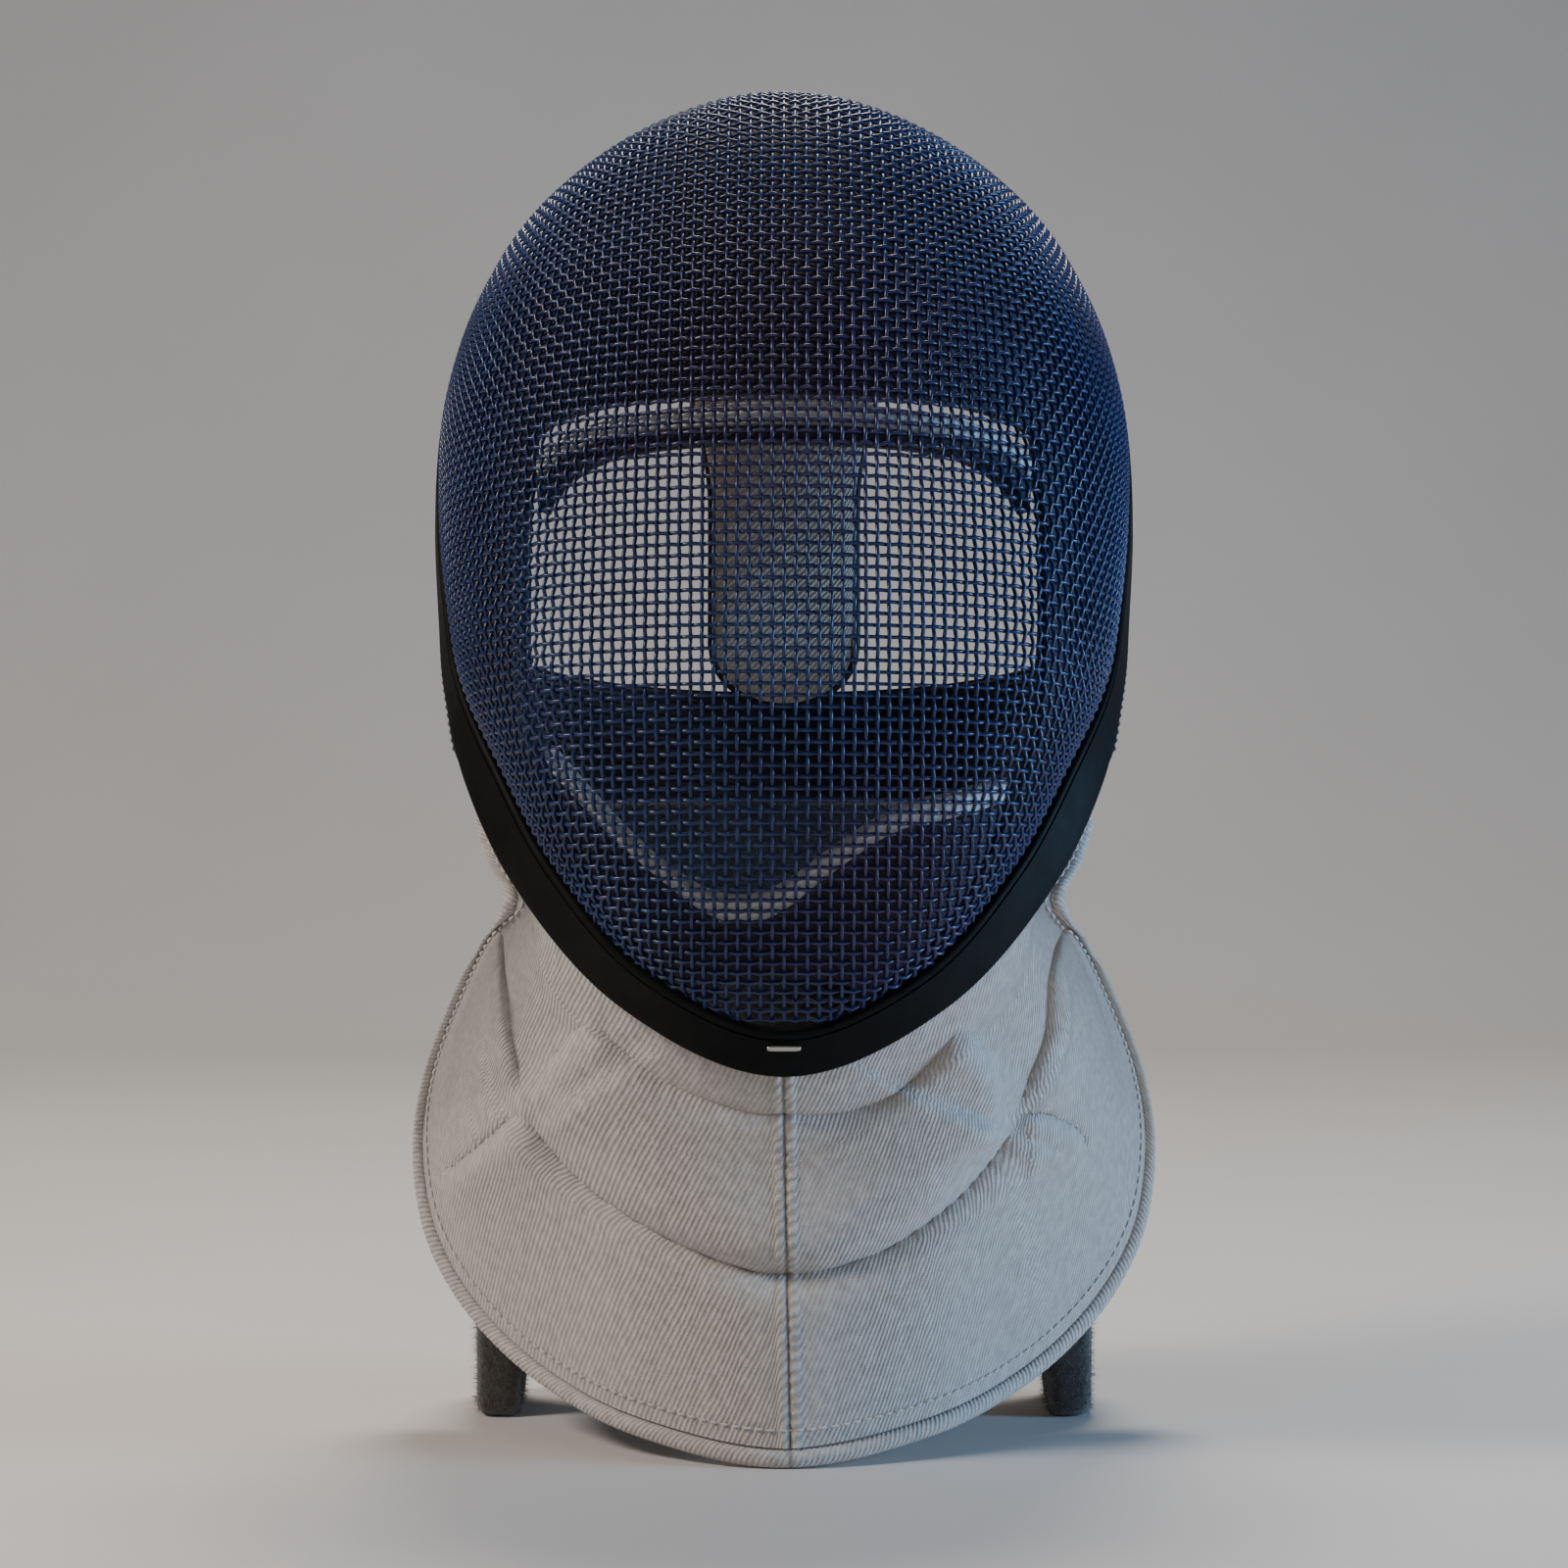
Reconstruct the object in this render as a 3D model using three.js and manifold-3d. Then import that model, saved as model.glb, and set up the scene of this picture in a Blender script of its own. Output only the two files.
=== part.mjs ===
// A fencing mask on a plain felt stand, in millimetres, +Z up, with the mask looking along -Y.
// The origin is on the table, under the middle of the whole.
import * as THREE from 'three';
import { mergeGeometries, mergeVertices } from 'three/addons/utils/BufferGeometryUtils.js';
import Module from 'manifold-3d';

const wasm = await Module();
wasm.setup();

// Driving dimensions.
const gap = 0.3;
const middle = 29.45;
const meshThick = 2;
const trimThick = 4.4;
const padThick = 9;
const padSeat = 0.8;
const padEdge = 0.16;
const bibThick = 2.4;
const bindingThick = 6;
const strapThick = 2.4;
const tongueThick = 7;
const hemWide = 5.6;
const hemThick = 3.6;
const hemGap = 0.6;
const creaseAt = 0.66;
const creaseReach = 0.1;
const sectionSteps = 32;
const bibSteps = 54;

// The mask's sections, from the chin up over the crown: where the mesh ends at the side, how far the
// trim band flares out and runs back from there, where the same section crosses the middle of the
// face, how full its sides are and how sharp its side crease is.
const sections = [
  { edge: [0, -95, 135], out: 14.5, back: 10, front: [-95, 135], full: 0, crease: 0 },
  { edge: [40, -92, 152], out: 14, back: 11, front: [-109, 160], full: 0.01, crease: 0.012 },
  { edge: [68, -78, 182], out: 14.2, back: 12.5, front: [-119, 191], full: 0.02, crease: 0.022 },
  { edge: [86, -58, 212], out: 12.6, back: 13, front: [-124.5, 222], full: 0.03, crease: 0.024 },
  { edge: [98.8, -36, 236], out: 6.5, back: 15, front: [-124.5, 252], full: 0.035, crease: 0.018 },
  { edge: [104.6, -14, 257.7], out: 3.7, back: 15.3, front: [-120, 282], full: 0.035, crease: 0.008 },
  { edge: [108.8, 8, 286], out: 2.2, back: 15.5, front: [-112, 311], full: 0.03, crease: 0 },
  { edge: [109.6, 24, 314], out: 1.2, back: 15.5, front: [-101, 338], full: 0.02, crease: 0 },
  { edge: [105, 33, 338.5], out: 1, back: 15.5, front: [-87, 362], full: 0.015, crease: 0 },
  { edge: [97, 37, 357.5], out: 0.8, back: 15.5, front: [-69.5, 384], full: 0.01, crease: 0 },
  { edge: [85.5, 38, 374], out: 0.6, back: 15.5, front: [-49, 404], full: 0, crease: 0 },
  { edge: [65, 37, 389.5], out: -2, back: 15.2, front: [-24, 418], full: 0, crease: 0 },
  { edge: [34.5, 33, 405], out: -5, back: 14.6, front: [4, 423], full: 0, crease: 0 },
  { edge: [0, 31, 413.5], out: -7, back: 14, front: [31, 413.5], full: 0, crease: 0 },
];
const crown = sections.length - 1;

// The lining inside the mesh, as one side of a horseshoe, from the cheek up to the brow: its edges at
// the face opening and at the trim, each as a turn (0 in the middle, 1 at the trim) and a section.
const liningRows = [
  { innerTurn: 0.725, innerSection: 2.05, outerTurn: 0.96, outerSection: 0.5 },
  { innerTurn: 0.665, innerSection: 3, outerTurn: 0.96, outerSection: 2.6 },
  { innerTurn: 0.575, innerSection: 3.9, outerTurn: 0.96, outerSection: 4 },
  { innerTurn: 0.535, innerSection: 4.7, outerTurn: 0.96, outerSection: 5.4 },
  { innerTurn: 0.52, innerSection: 5.3, outerTurn: 0.96, outerSection: 6.8 },
  { innerTurn: 0.482, innerSection: 5.85, outerTurn: 0.96, outerSection: 8.2 },
  { innerTurn: 0.475, innerSection: 6.24, outerTurn: 0.95, outerSection: 9.6 },
  { innerTurn: 0.36, innerSection: 6.4, outerTurn: 0.9, outerSection: 11 },
  { innerTurn: 0.17, innerSection: 6.43, outerTurn: 0.6, outerSection: 12.1 },
  { innerTurn: 0, innerSection: 6.43, outerTurn: 0, outerSection: 12.5 },
];
const browBinding = { from: 5.93, to: 6.36, turn: 0.455, drop: 0.15, corner: 0.18 };

// The chin pad narrows from the trim to its upper edge, which dips left of the middle. The edge is
// given as sections at even turns from the left to the right.
const chinPad = { from: 0.6, wide: 0.9, narrow: 0.62 };
const chinTops = [2.7, 1.89, 1.34, 1.2, 1.32, 1.69, 2.09, 2.25, 2.42];
const chinBinding = { from: 0.025, to: 0.27 };

// The bib, from the middle of its lower edge round to its end at the neck: the section where it
// leaves the trim, and the outer edge of its hem.
const bibRows = [
  { topAt: 0, hem: [0, -75, 0] },
  { topAt: 0.5, hem: [43.5, -58, 6] },
  { topAt: 0.85, hem: [74, -31, 16.4] },
  { topAt: 1.1, hem: [98, -10, 34] },
  { topAt: 1.3, hem: [113.4, 3, 57] },
  { topAt: 1.45, hem: [118.2, 6, 84.9] },
  { topAt: 1.6, hem: [114, -6, 111.3] },
  { topAt: 1.75, hem: [100.6, -28, 144.2] },
  { topAt: 1.85, hem: [93.6, -42, 157.5] },
  { topAt: 1.95, hem: [85.6, -55, 170.4] },
  { topAt: 2.3, hem: [91, -44, 183] },
  { topAt: 2.7, hem: [94.5, -36, 195] },
];
const bibEnd = bibRows.length - 1;
const bibTuck = 0.12;
const bibSeat = 1;

// The bib's folds as seen from the front: a curve through three points (across, up), how far it
// stands out towards the viewer, and how far it reaches to each side.
const folds = [
  { from: [-50, 115], by: [0, 92], to: [50, 115], rise: -5, reach: 26 },
  { from: [-80.6, 104], by: [-45, 70], to: [0, 58.5], rise: -2.6, reach: 6 },
  { from: [0, 58.5], by: [38, 72], to: [70, 100], rise: -2.6, reach: 6 },
  { from: [-86, 168], by: [-85, 131], to: [-80, 106], rise: 2.4, reach: 5 },
  { from: [-57.6, 137], by: [-69, 123], to: [-79.4, 108], rise: 2.2, reach: 5 },
  { from: [-80.6, 104], by: [-97, 88], to: [-111, 77], rise: 2.6, reach: 7 },
  { from: [51.4, 136.5], by: [61, 122], to: [69.5, 100], rise: 2.4, reach: 5 },
  { from: [69, 103], by: [82, 126], to: [87, 160], rise: -2.4, reach: 6 },
  { from: [72, 99], by: [80, 98], to: [92, 92], rise: 2.4, reach: 6 },
  { from: [101, 131], by: [93, 119], to: [86, 107], rise: -1.8, reach: 8 },
];

const strap = { seat: 1.2, from: 3.25, to: 4.9, low: 189, high: 233, backY: 64, drop: 1.4, round: 0.8 };
const tongue = { seat: 1.9, reach: 1.35, low: 229, endHalf: 24, endRound: 0.8, backY: 56.5, bow: 9, taper: 1.45 };
const rimBar = { long: 10, tall: 1.6, thick: 0.9, along: 0.27, bend: 0.3 };
const stand = {
  half: 99.3, frontY: 4.5, deep: 46, straight: 62, shoulder: 130, top: 150, topHalf: 74, corner: 4,
  archHalf: 86, archTall: 82, bevel: 2.5, armFrom: 1.2, armTo: 4.6, armTop: 0.14, armLow: 0.36,
  crestHalf: 74, crestTop: 198, crestDeep: 12, crestRound: 22,
};

// Slides from the first value to the second.
const mix = (a, b, t) => a + (b - a) * t;
const smooth = (t) => t * t * (3 - 2 * t);

// The weights of four neighbouring rows on a smooth curve that runs through the middle two.
function rowWeights(t) {
  return [
    (-t + 2 * t * t - t * t * t) / 2,
    (2 - 5 * t * t + 3 * t * t * t) / 2,
    (t + 4 * t * t - 3 * t * t * t) / 2,
    (-t * t + t * t * t) / 2,
  ];
}

// Reads a column at a place between the rows. Before the first row and after the last one a value
// is the mirrored row's, times a sign, or with sign 0 it carries the slope on.
function readRows(rows, place, column, before, after) {
  const last = rows.length - 1;
  const whole = Math.min(Math.floor(place), last - 1);
  const past = (end, mirrored, sign) => (
    sign === 0 ? 2 * column(rows[end]) - column(rows[mirrored]) : sign * column(rows[mirrored])
  );
  const value = (index) => {
    if (index < 0) return past(0, -index, before);
    if (index > last) return past(last, 2 * last - index, after);
    return column(rows[index]);
  };
  const weights = rowWeights(place - whole);
  return weights.reduce((sum, weight, k) => sum + weight * value(whole - 1 + k), 0);
}

// The side where the mesh ends, at a section number; a negative number is the left side.
function meshEdge(at) {
  const place = Math.abs(at);
  return new THREE.Vector3(
    (at < 0 ? -1 : 1) * readRows(sections, place, (row) => row.edge[0], -1, -1),
    readRows(sections, place, (row) => row.edge[1], 1, 1),
    readRows(sections, place, (row) => row.edge[2], 1, 1),
  );
}

// The dome's surface: half of an ellipse from one side over the front to the other, made fuller at
// its sides, with a soft crease.
function domePoint(turn, at) {
  const side = meshEdge(at);
  const angle = turn * Math.PI / 2;
  const sine = Math.sin(angle);
  const cosine = Math.cos(angle);
  const full = readRows(sections, at, (row) => row.full, 1, 1);
  const crease = readRows(sections, at, (row) => row.crease, 1, 1);
  const peak = 1 / (1 + ((Math.abs(sine) - creaseAt) / creaseReach) ** 2);
  const swell = 1 + full * Math.sin(2 * angle) ** 2 + crease * peak * cosine;
  const frontY = readRows(sections, at, (row) => row.front[0], 0, 0);
  const frontZ = readRows(sections, at, (row) => row.front[1], 0, 0);
  return new THREE.Vector3(
    side.x * sine * swell,
    mix(side.y, frontY, cosine * swell),
    mix(side.z, frontZ, cosine * swell),
  );
}

// A surface's outward normal, from small steps along its two directions.
function surfaceNormal(surface, u, v, step) {
  const alongU = surface(u + step, v).sub(surface(u - step, v));
  const alongV = surface(u, v + step).sub(surface(u, v - step));
  return alongU.cross(alongV).normalize();
}

// The dome's point moved out by a distance. At its two ends, where a section shrinks to a point,
// the normal is read a little inside, in the middle.
function domeAt(turn, at, outward) {
  const inside = 0.06;
  const place = Math.min(Math.max(at, inside), crown - inside);
  const isEnd = at < 1e-6 || at > crown - 1e-6;
  const across = isEnd ? 0 : Math.min(Math.max(turn, -0.999), 0.999);
  const normal = surfaceNormal(domePoint, across, place, 0.002);
  return domePoint(isEnd ? 0 : turn, at).addScaledVector(normal, outward);
}

// The trim band's own axes at a section: its start at the mesh, the way across the band and its
// outward normal.
function trimFrame(at) {
  const step = 0.01;
  const start = meshEdge(at);
  const along = meshEdge(at + step).sub(meshEdge(at - step)).normalize();
  const place = Math.abs(at);
  const out = readRows(sections, place, (row) => row.out, 1, 1);
  const back = readRows(sections, place, (row) => row.back, 1, 1);
  const flat = Math.hypot(along.x, along.z);
  const across = new THREE.Vector3(out * along.z / flat, back, -out * along.x / flat);
  const width = across.length();
  across.normalize();
  const normal = new THREE.Vector3().crossVectors(across, along).normalize();
  const lean = Math.abs(domeAt(Math.sign(at) || 1, place, 1).sub(start).dot(across));
  return { start, across, normal, width, seat: gap + lean * meshThick / 2 };
}

// A point of the trim band: a distance from the mesh and a distance out of the band.
function trimPoint(at, across, outward) {
  const frame = trimFrame(at);
  return frame.start.addScaledVector(frame.across, across).addScaledVector(frame.normal, outward);
}

// Turns a list of corners and triangles into a closed geometry that faces out.
function closedGeometry(points, triangles) {
  const positions = new Float32Array(points.length * 3);
  points.forEach((point, k) => point.toArray(positions, k * 3));
  let geometry = new THREE.BufferGeometry();
  geometry.setAttribute('position', new THREE.BufferAttribute(positions, 3));
  geometry.setIndex(triangles);
  geometry = mergeVertices(geometry, 1e-3);
  const index = geometry.getIndex().array;
  const kept = [];
  let volume = 0;
  const corner = [new THREE.Vector3(), new THREE.Vector3(), new THREE.Vector3()];
  for (let k = 0; k < index.length; k += 3) {
    const [a, b, c] = [index[k], index[k + 1], index[k + 2]];
    if (a === b || b === c || c === a) continue;
    kept.push(a, b, c);
    [a, b, c].forEach((number, m) => corner[m].fromBufferAttribute(geometry.attributes.position, number));
    volume += corner[0].dot(corner[1].clone().cross(corner[2]));
  }
  if (volume < 0) kept.reverse();
  geometry.setIndex(kept);
  return geometry;
}

// A closed solid between two sheets of points, each given as rows of equal length.
function solidBetween(outer, inner) {
  const rows = outer.length;
  const columns = outer[0].length;
  const points = [...outer.flat(), ...inner.flat()];
  const number = (sheet, r, c) => sheet * rows * columns + r * columns + c;
  const triangles = [];
  const quad = (a, b, c, d) => triangles.push(a, b, c, a, c, d);
  for (let r = 0; r + 1 < rows; r += 1) {
    for (let c = 0; c + 1 < columns; c += 1) {
      quad(number(0, r, c), number(0, r, c + 1), number(0, r + 1, c + 1), number(0, r + 1, c));
      quad(number(1, r, c), number(1, r + 1, c), number(1, r + 1, c + 1), number(1, r, c + 1));
    }
  }
  for (let c = 0; c + 1 < columns; c += 1) {
    quad(number(0, 0, c), number(1, 0, c), number(1, 0, c + 1), number(0, 0, c + 1));
    quad(number(0, rows - 1, c + 1), number(1, rows - 1, c + 1), number(1, rows - 1, c), number(0, rows - 1, c));
  }
  for (let r = 0; r + 1 < rows; r += 1) {
    quad(number(0, r + 1, 0), number(1, r + 1, 0), number(1, r, 0), number(0, r, 0));
    quad(
      number(0, r, columns - 1), number(1, r, columns - 1),
      number(1, r + 1, columns - 1), number(0, r + 1, columns - 1),
    );
  }
  return closedGeometry(points, triangles);
}

// A solid swept through a list of equal sections, joined end to end or closed by flat ends.
function solidThrough(loops, isRing) {
  const sides = loops[0].length;
  const triangles = [];
  const quad = (a, b, c, d) => triangles.push(a, b, c, a, c, d);
  const steps = isRing ? loops.length : loops.length - 1;
  for (let k = 0; k < steps; k += 1) {
    const next = (k + 1) % loops.length;
    for (let m = 0; m < sides; m += 1) {
      const turn = (m + 1) % sides;
      quad(k * sides + m, k * sides + turn, next * sides + turn, next * sides + m);
    }
  }
  const lastLoop = (loops.length - 1) * sides;
  for (let m = 1; m + 1 < sides && !isRing; m += 1) {
    triangles.push(0, m + 1, m, lastLoop, lastLoop + m, lastLoop + m + 1);
  }
  return closedGeometry(loops.flat(), triangles);
}

// Evenly spaced numbers from one value to another, both included.
function steps(from, to, count) {
  return Array.from({ length: count + 1 }, (_, k) => mix(from, to, k / count));
}

// The woven wire dome, here one wall in the weave's outer form.
function domeGeometry() {
  const sheet = (outward) => steps(0, crown, sectionSteps).map(
    (at) => steps(-1, 1, 22).map((turn) => domeAt(turn, at, outward)),
  );
  return solidBetween(sheet(meshThick / 2), sheet(-meshThick / 2));
}

// The trim: a flat band with rounded edges, all the way round the mesh.
function trimGeometry() {
  const half = trimThick / 2;
  const round = 1.3;
  const loops = steps(-crown, crown, 2 * sectionSteps).slice(1).map((at) => {
    const { width, seat } = trimFrame(at);
    const section = [
      [seat, half - round], [seat + round, half], [width - round, half], [width, half - round],
      [width, round - half], [width - round, -half], [seat + round, -half], [seat, round - half],
    ];
    return section.map(([across, outward]) => trimPoint(at, across, outward));
  });
  return solidThrough(loops, true);
}

// A pad's thickness across its width: full in the middle and rounded off at both edges.
function padShare(across) {
  return padEdge + (1 - padEdge) * Math.sqrt(1 - (2 * across - 1) ** 6);
}

// The padded lining: a horseshoe round the face opening, on the inside of the mesh.
function liningGeometry() {
  const last = liningRows.length - 1;
  const place = (around, across) => {
    const row = last - Math.abs(around);
    const side = around < 0 ? -1 : 1;
    const read = (name, sign) => readRows(liningRows, row, (entry) => entry[name], 0, sign);
    const turn = mix(read('innerTurn', -1), read('outerTurn', -1), across);
    const at = mix(read('innerSection', 1), read('outerSection', 1), across);
    return [side * turn, at];
  };
  const sheet = (depth) => steps(-last, last, 36).map((around) => steps(0, 1, 7).map((across) => {
    const [turn, at] = place(around, across);
    return domeAt(turn, at, -depth(across));
  }));
  const seat = meshThick / 2 + padSeat;
  return solidBetween(sheet(() => seat), sheet((across) => seat + padThick * padShare(across)));
}

// A band of edging on the inside of the mesh, between two curves of sections.
function bindingGeometry(turns, from, to) {
  const sheet = (depth) => turns.map((turn) => steps(0, 1, 2).map(
    (across) => domeAt(turn, mix(from(turn), to(turn), across), -depth),
  ));
  const seat = meshThick / 2 + padSeat;
  return solidBetween(sheet(seat), sheet(seat + bindingThick));
}

// The sections of the brow binding's two edges at a turn: both fall towards its ends.
const browLow = (turn) => browBinding.from - browBinding.corner * (Math.abs(turn) / browBinding.turn) ** 6;
const browHigh = (turn) => browBinding.to - browBinding.drop * (turn / browBinding.turn) ** 2;

// The section that the chin pad's upper edge has at a turn.
function chinTop(turn) {
  const place = (turn / chinPad.narrow + 1) * (chinTops.length - 1) / 2;
  return readRows(chinTops, place, (section) => section, 0, 0);
}

// The chin pad: lines the mesh from the trim up to its dipping edge.
function chinPadGeometry() {
  const sheet = (depth) => steps(-1, 1, 20).map((share) => steps(0, 1, 6).map((up) => {
    const turn = share * mix(chinPad.wide, chinPad.narrow, up);
    const edge = chinTop(share * chinPad.narrow);
    return domeAt(turn, mix(chinPad.from, edge, up), -depth(up));
  }));
  const seat = meshThick / 2 + padSeat;
  return solidBetween(sheet(() => seat), sheet((up) => seat + padThick * padShare(up)));
}

// How far a fold lifts a place of the bib, by its distance from the fold's curve.
function foldLift(fold, x, z) {
  const nearest = steps(0, 1, 10).reduce((least, t) => {
    const bendX = 2 * fold.by[0] - (fold.from[0] + fold.to[0]) / 2;
    const bendZ = 2 * fold.by[1] - (fold.from[1] + fold.to[1]) / 2;
    const curveX = (1 - t) ** 2 * fold.from[0] + 2 * t * (1 - t) * bendX + t * t * fold.to[0];
    const curveZ = (1 - t) ** 2 * fold.from[1] + 2 * t * (1 - t) * bendZ + t * t * fold.to[1];
    return Math.min(least, (x - curveX) ** 2 + (z - curveZ) ** 2);
  }, Infinity);
  return fold.rise / (1 + nearest / fold.reach ** 2);
}

// The bib's frame lines at a row: where it is tucked behind the trim, where it comes out below the
// trim, and the outer edge of its hem.
function bibLine(row) {
  const place = Math.abs(row);
  const side = row < 0 ? -1 : 1;
  const topAt = side * readRows(bibRows, place, (entry) => entry.topAt, -1, 0);
  const behind = -(trimThick / 2 + bibThick / 2 + bibSeat);
  const { width, across } = trimFrame(topAt);
  const tucked = trimPoint(topAt, width * 0.5, behind);
  const out = trimPoint(topAt, width + 1.5, behind);
  const hem = new THREE.Vector3(
    side * readRows(bibRows, place, (entry) => entry.hem[0], -1, 0),
    readRows(bibRows, place, (entry) => entry.hem[1], 1, 0),
    readRows(bibRows, place, (entry) => entry.hem[2], 1, 0),
  );
  const down = hem.clone().sub(out).normalize();
  return { tucked, out, hem, across, down };
}

// The bib's middle surface: straight behind the trim, then an arc down to the hem, with its folds.
function bibPoint(row, down) {
  const line = bibLine(row);
  if (down < bibTuck) return line.tucked.lerp(line.out, down / bibTuck);
  const t = (down - bibTuck) / (1 - bibTuck);
  const end = line.hem.clone().addScaledVector(line.down, -(hemWide + hemGap));
  const length = end.distanceTo(line.out);
  const bend = line.out.clone().addScaledVector(line.across, length * 0.3);
  const point = line.out.multiplyScalar((1 - t) ** 2);
  point.addScaledVector(bend, 2 * t * (1 - t)).addScaledVector(end, t * t);
  const settle = smooth(Math.min(1, t * 4)) * smooth(Math.min(1, (1 - t) * 5));
  const lift = folds.reduce((sum, fold) => sum + foldLift(fold, point.x, point.z), 0);
  point.y -= lift * settle * Math.min(1, length / 60);
  return point;
}

// A point of the bib moved out of its surface towards the front.
function bibAt(row, down, outward) {
  const place = Math.min(Math.max(row, 0.01 - bibEnd), bibEnd - 0.01);
  const level = Math.min(Math.max(down, 0.01), 0.99);
  const normal = surfaceNormal(bibPoint, place, level, 0.008);
  if (normal.y > 0) normal.negate();
  return bibPoint(row, down).addScaledVector(normal, outward);
}

function bibGeometry() {
  const levels = [0, bibTuck, ...steps(0.2, 1, 9)];
  const sheet = (outward) => steps(-bibEnd, bibEnd, bibSteps).map(
    (row) => levels.map((down) => bibAt(row, down, outward)),
  );
  return solidBetween(sheet(bibThick / 2), sheet(-bibThick / 2));
}

// The bib's rolled hem, along its whole outer edge.
function hemGeometry() {
  const step = 0.02;
  const loops = steps(-bibEnd, bibEnd, bibSteps).map((row) => {
    const { hem, down } = bibLine(row);
    const ahead = bibLine(Math.min(row + step, bibEnd)).hem;
    const along = ahead.sub(bibLine(Math.max(row - step, -bibEnd)).hem).normalize();
    const normal = new THREE.Vector3().crossVectors(along, down).normalize();
    const middle = hem.clone().addScaledVector(down, -hemWide / 2);
    return steps(0, 5 / 6, 5).map((share) => {
      const angle = share * 2 * Math.PI;
      return middle.clone()
        .addScaledVector(down, Math.cos(angle) * hemWide / 2)
        .addScaledVector(normal, Math.sin(angle) * hemThick / 2);
    });
  });
  return solidThrough(loops, false);
}

// The wide elastic strap: from the trim on one side round the back of the head to the other.
function strapGeometry() {
  const line = (up, around) => {
    const at = mix(strap.from, strap.to, up);
    const start = trimPoint(at, trimFrame(at).width + strap.seat, 0);
    const fall = Math.sin(around * Math.PI / 2) ** strap.drop;
    return new THREE.Vector3(
      start.x * Math.cos(around * Math.PI / 2) ** strap.round,
      mix(start.y, strap.backY, Math.sin(around * Math.PI / 2)),
      mix(start.z, mix(strap.low, strap.high, up), fall),
    );
  };
  const whole = (up, share) => {
    const point = line(up, 1 - Math.abs(share));
    point.x *= share < 0 ? -1 : 1;
    return point;
  };
  const sheet = (outward) => steps(-1, 1, 34).map((share) => steps(0, 1, 3).map((up) => {
    const near = Math.min(Math.max(share, -0.99), 0.99);
    const level = Math.min(Math.max(up, 0.01), 0.99);
    const normal = surfaceNormal(whole, level, near, 0.004);
    return whole(up, share).addScaledVector(normal, outward);
  }));
  return solidBetween(sheet(strapThick / 2), sheet(-strapThick / 2));
}

// The padded tongue: hangs from the back of the trim behind the crown, narrows and ends inside the
// strap.
function tonguePoint(share, down) {
  const at = crown - Math.abs(share) * tongue.reach;
  const start = trimPoint(at, trimFrame(at).width + tongue.seat, 0);
  const half = Math.abs(start.x);
  const rise = tongue.endHalf - Math.sqrt(tongue.endHalf ** 2 * (1 - share ** 2) + 1);
  const endZ = tongue.low + rise * tongue.endRound;
  const side = share < 0 ? -1 : 1;
  return new THREE.Vector3(
    side * mix(half, Math.abs(share) * tongue.endHalf, smooth(Math.min(1, down * tongue.taper))),
    mix(start.y, tongue.backY, down) + tongue.bow * Math.sin(down * Math.PI),
    mix(start.z, endZ, down),
  );
}

function tongueGeometry() {
  const round = (share, down) => tongueThick
    * (0.3 + 0.7 * Math.sqrt(1 - Math.abs(share) ** 4)) * mix(0.4, 1, smooth(Math.min(1, down * 6)));
  const sheet = (side) => steps(0, 1, 12).map((down) => steps(-1, 1, 10).map((share) => {
    const level = Math.min(Math.max(down, 0.01), 0.99);
    const normal = surfaceNormal(tonguePoint, Math.min(Math.max(share, -0.98), 0.98), level, 0.01);
    return tonguePoint(share, down).addScaledVector(normal, side * round(share, down) / 2);
  }));
  return solidBetween(sheet(1), sheet(-1));
}

// The small bar on the trim under the chin.
function rimBarGeometry() {
  const { width } = trimFrame(0);
  const low = trimThick / 2 + gap + rimBar.bend;
  const corner = (x, across, outward) => trimPoint(0, across, outward).setX(x);
  const from = width * rimBar.along - rimBar.tall / 2;
  const sheet = (outward) => [from, from + rimBar.tall].map(
    (across) => [-rimBar.long / 2, rimBar.long / 2].map((x) => corner(x, across, outward)),
  );
  return solidBetween(sheet(low + rimBar.thick), sheet(low));
}

// A geometry as a solid that can be joined and cut.
function asSolid(geometry) {
  const bare = geometry.index ? geometry.clone() : mergeGeometries([geometry]);
  bare.deleteAttribute('normal');
  bare.deleteAttribute('uv');
  const merged = mergeVertices(bare, 1e-3);
  return new wasm.Manifold(new wasm.Mesh({
    numProp: 3,
    vertProperties: new Float32Array(merged.attributes.position.array),
    triVerts: new Uint32Array(merged.index.array),
  }));
}

function asGeometry(solid) {
  const mesh = solid.getMesh();
  const geometry = new THREE.BufferGeometry();
  geometry.setAttribute('position', new THREE.BufferAttribute(new Float32Array(mesh.vertProperties), 3));
  geometry.setIndex(Array.from(mesh.triVerts));
  return geometry;
}

// The stand's crest: a thinner upright above the board, which reaches up below the strap.
function crestGeometry() {
  const { crestHalf, crestTop, crestRound, crestDeep } = stand;
  const outline = new THREE.Shape();
  outline.moveTo(-crestHalf, stand.shoulder);
  outline.lineTo(-crestHalf, crestTop - crestRound);
  outline.quadraticCurveTo(-crestHalf, crestTop, crestRound - crestHalf, crestTop);
  outline.lineTo(crestHalf - crestRound, crestTop);
  outline.quadraticCurveTo(crestHalf, crestTop, crestHalf, crestTop - crestRound);
  outline.lineTo(crestHalf, stand.shoulder);
  const geometry = new THREE.ExtrudeGeometry(outline, {
    depth: crestDeep, bevelEnabled: false, curveSegments: 5,
  });
  geometry.rotateX(Math.PI / 2);
  geometry.translate(0, stand.frontY + crestDeep, 0);
  return geometry;
}

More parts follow.
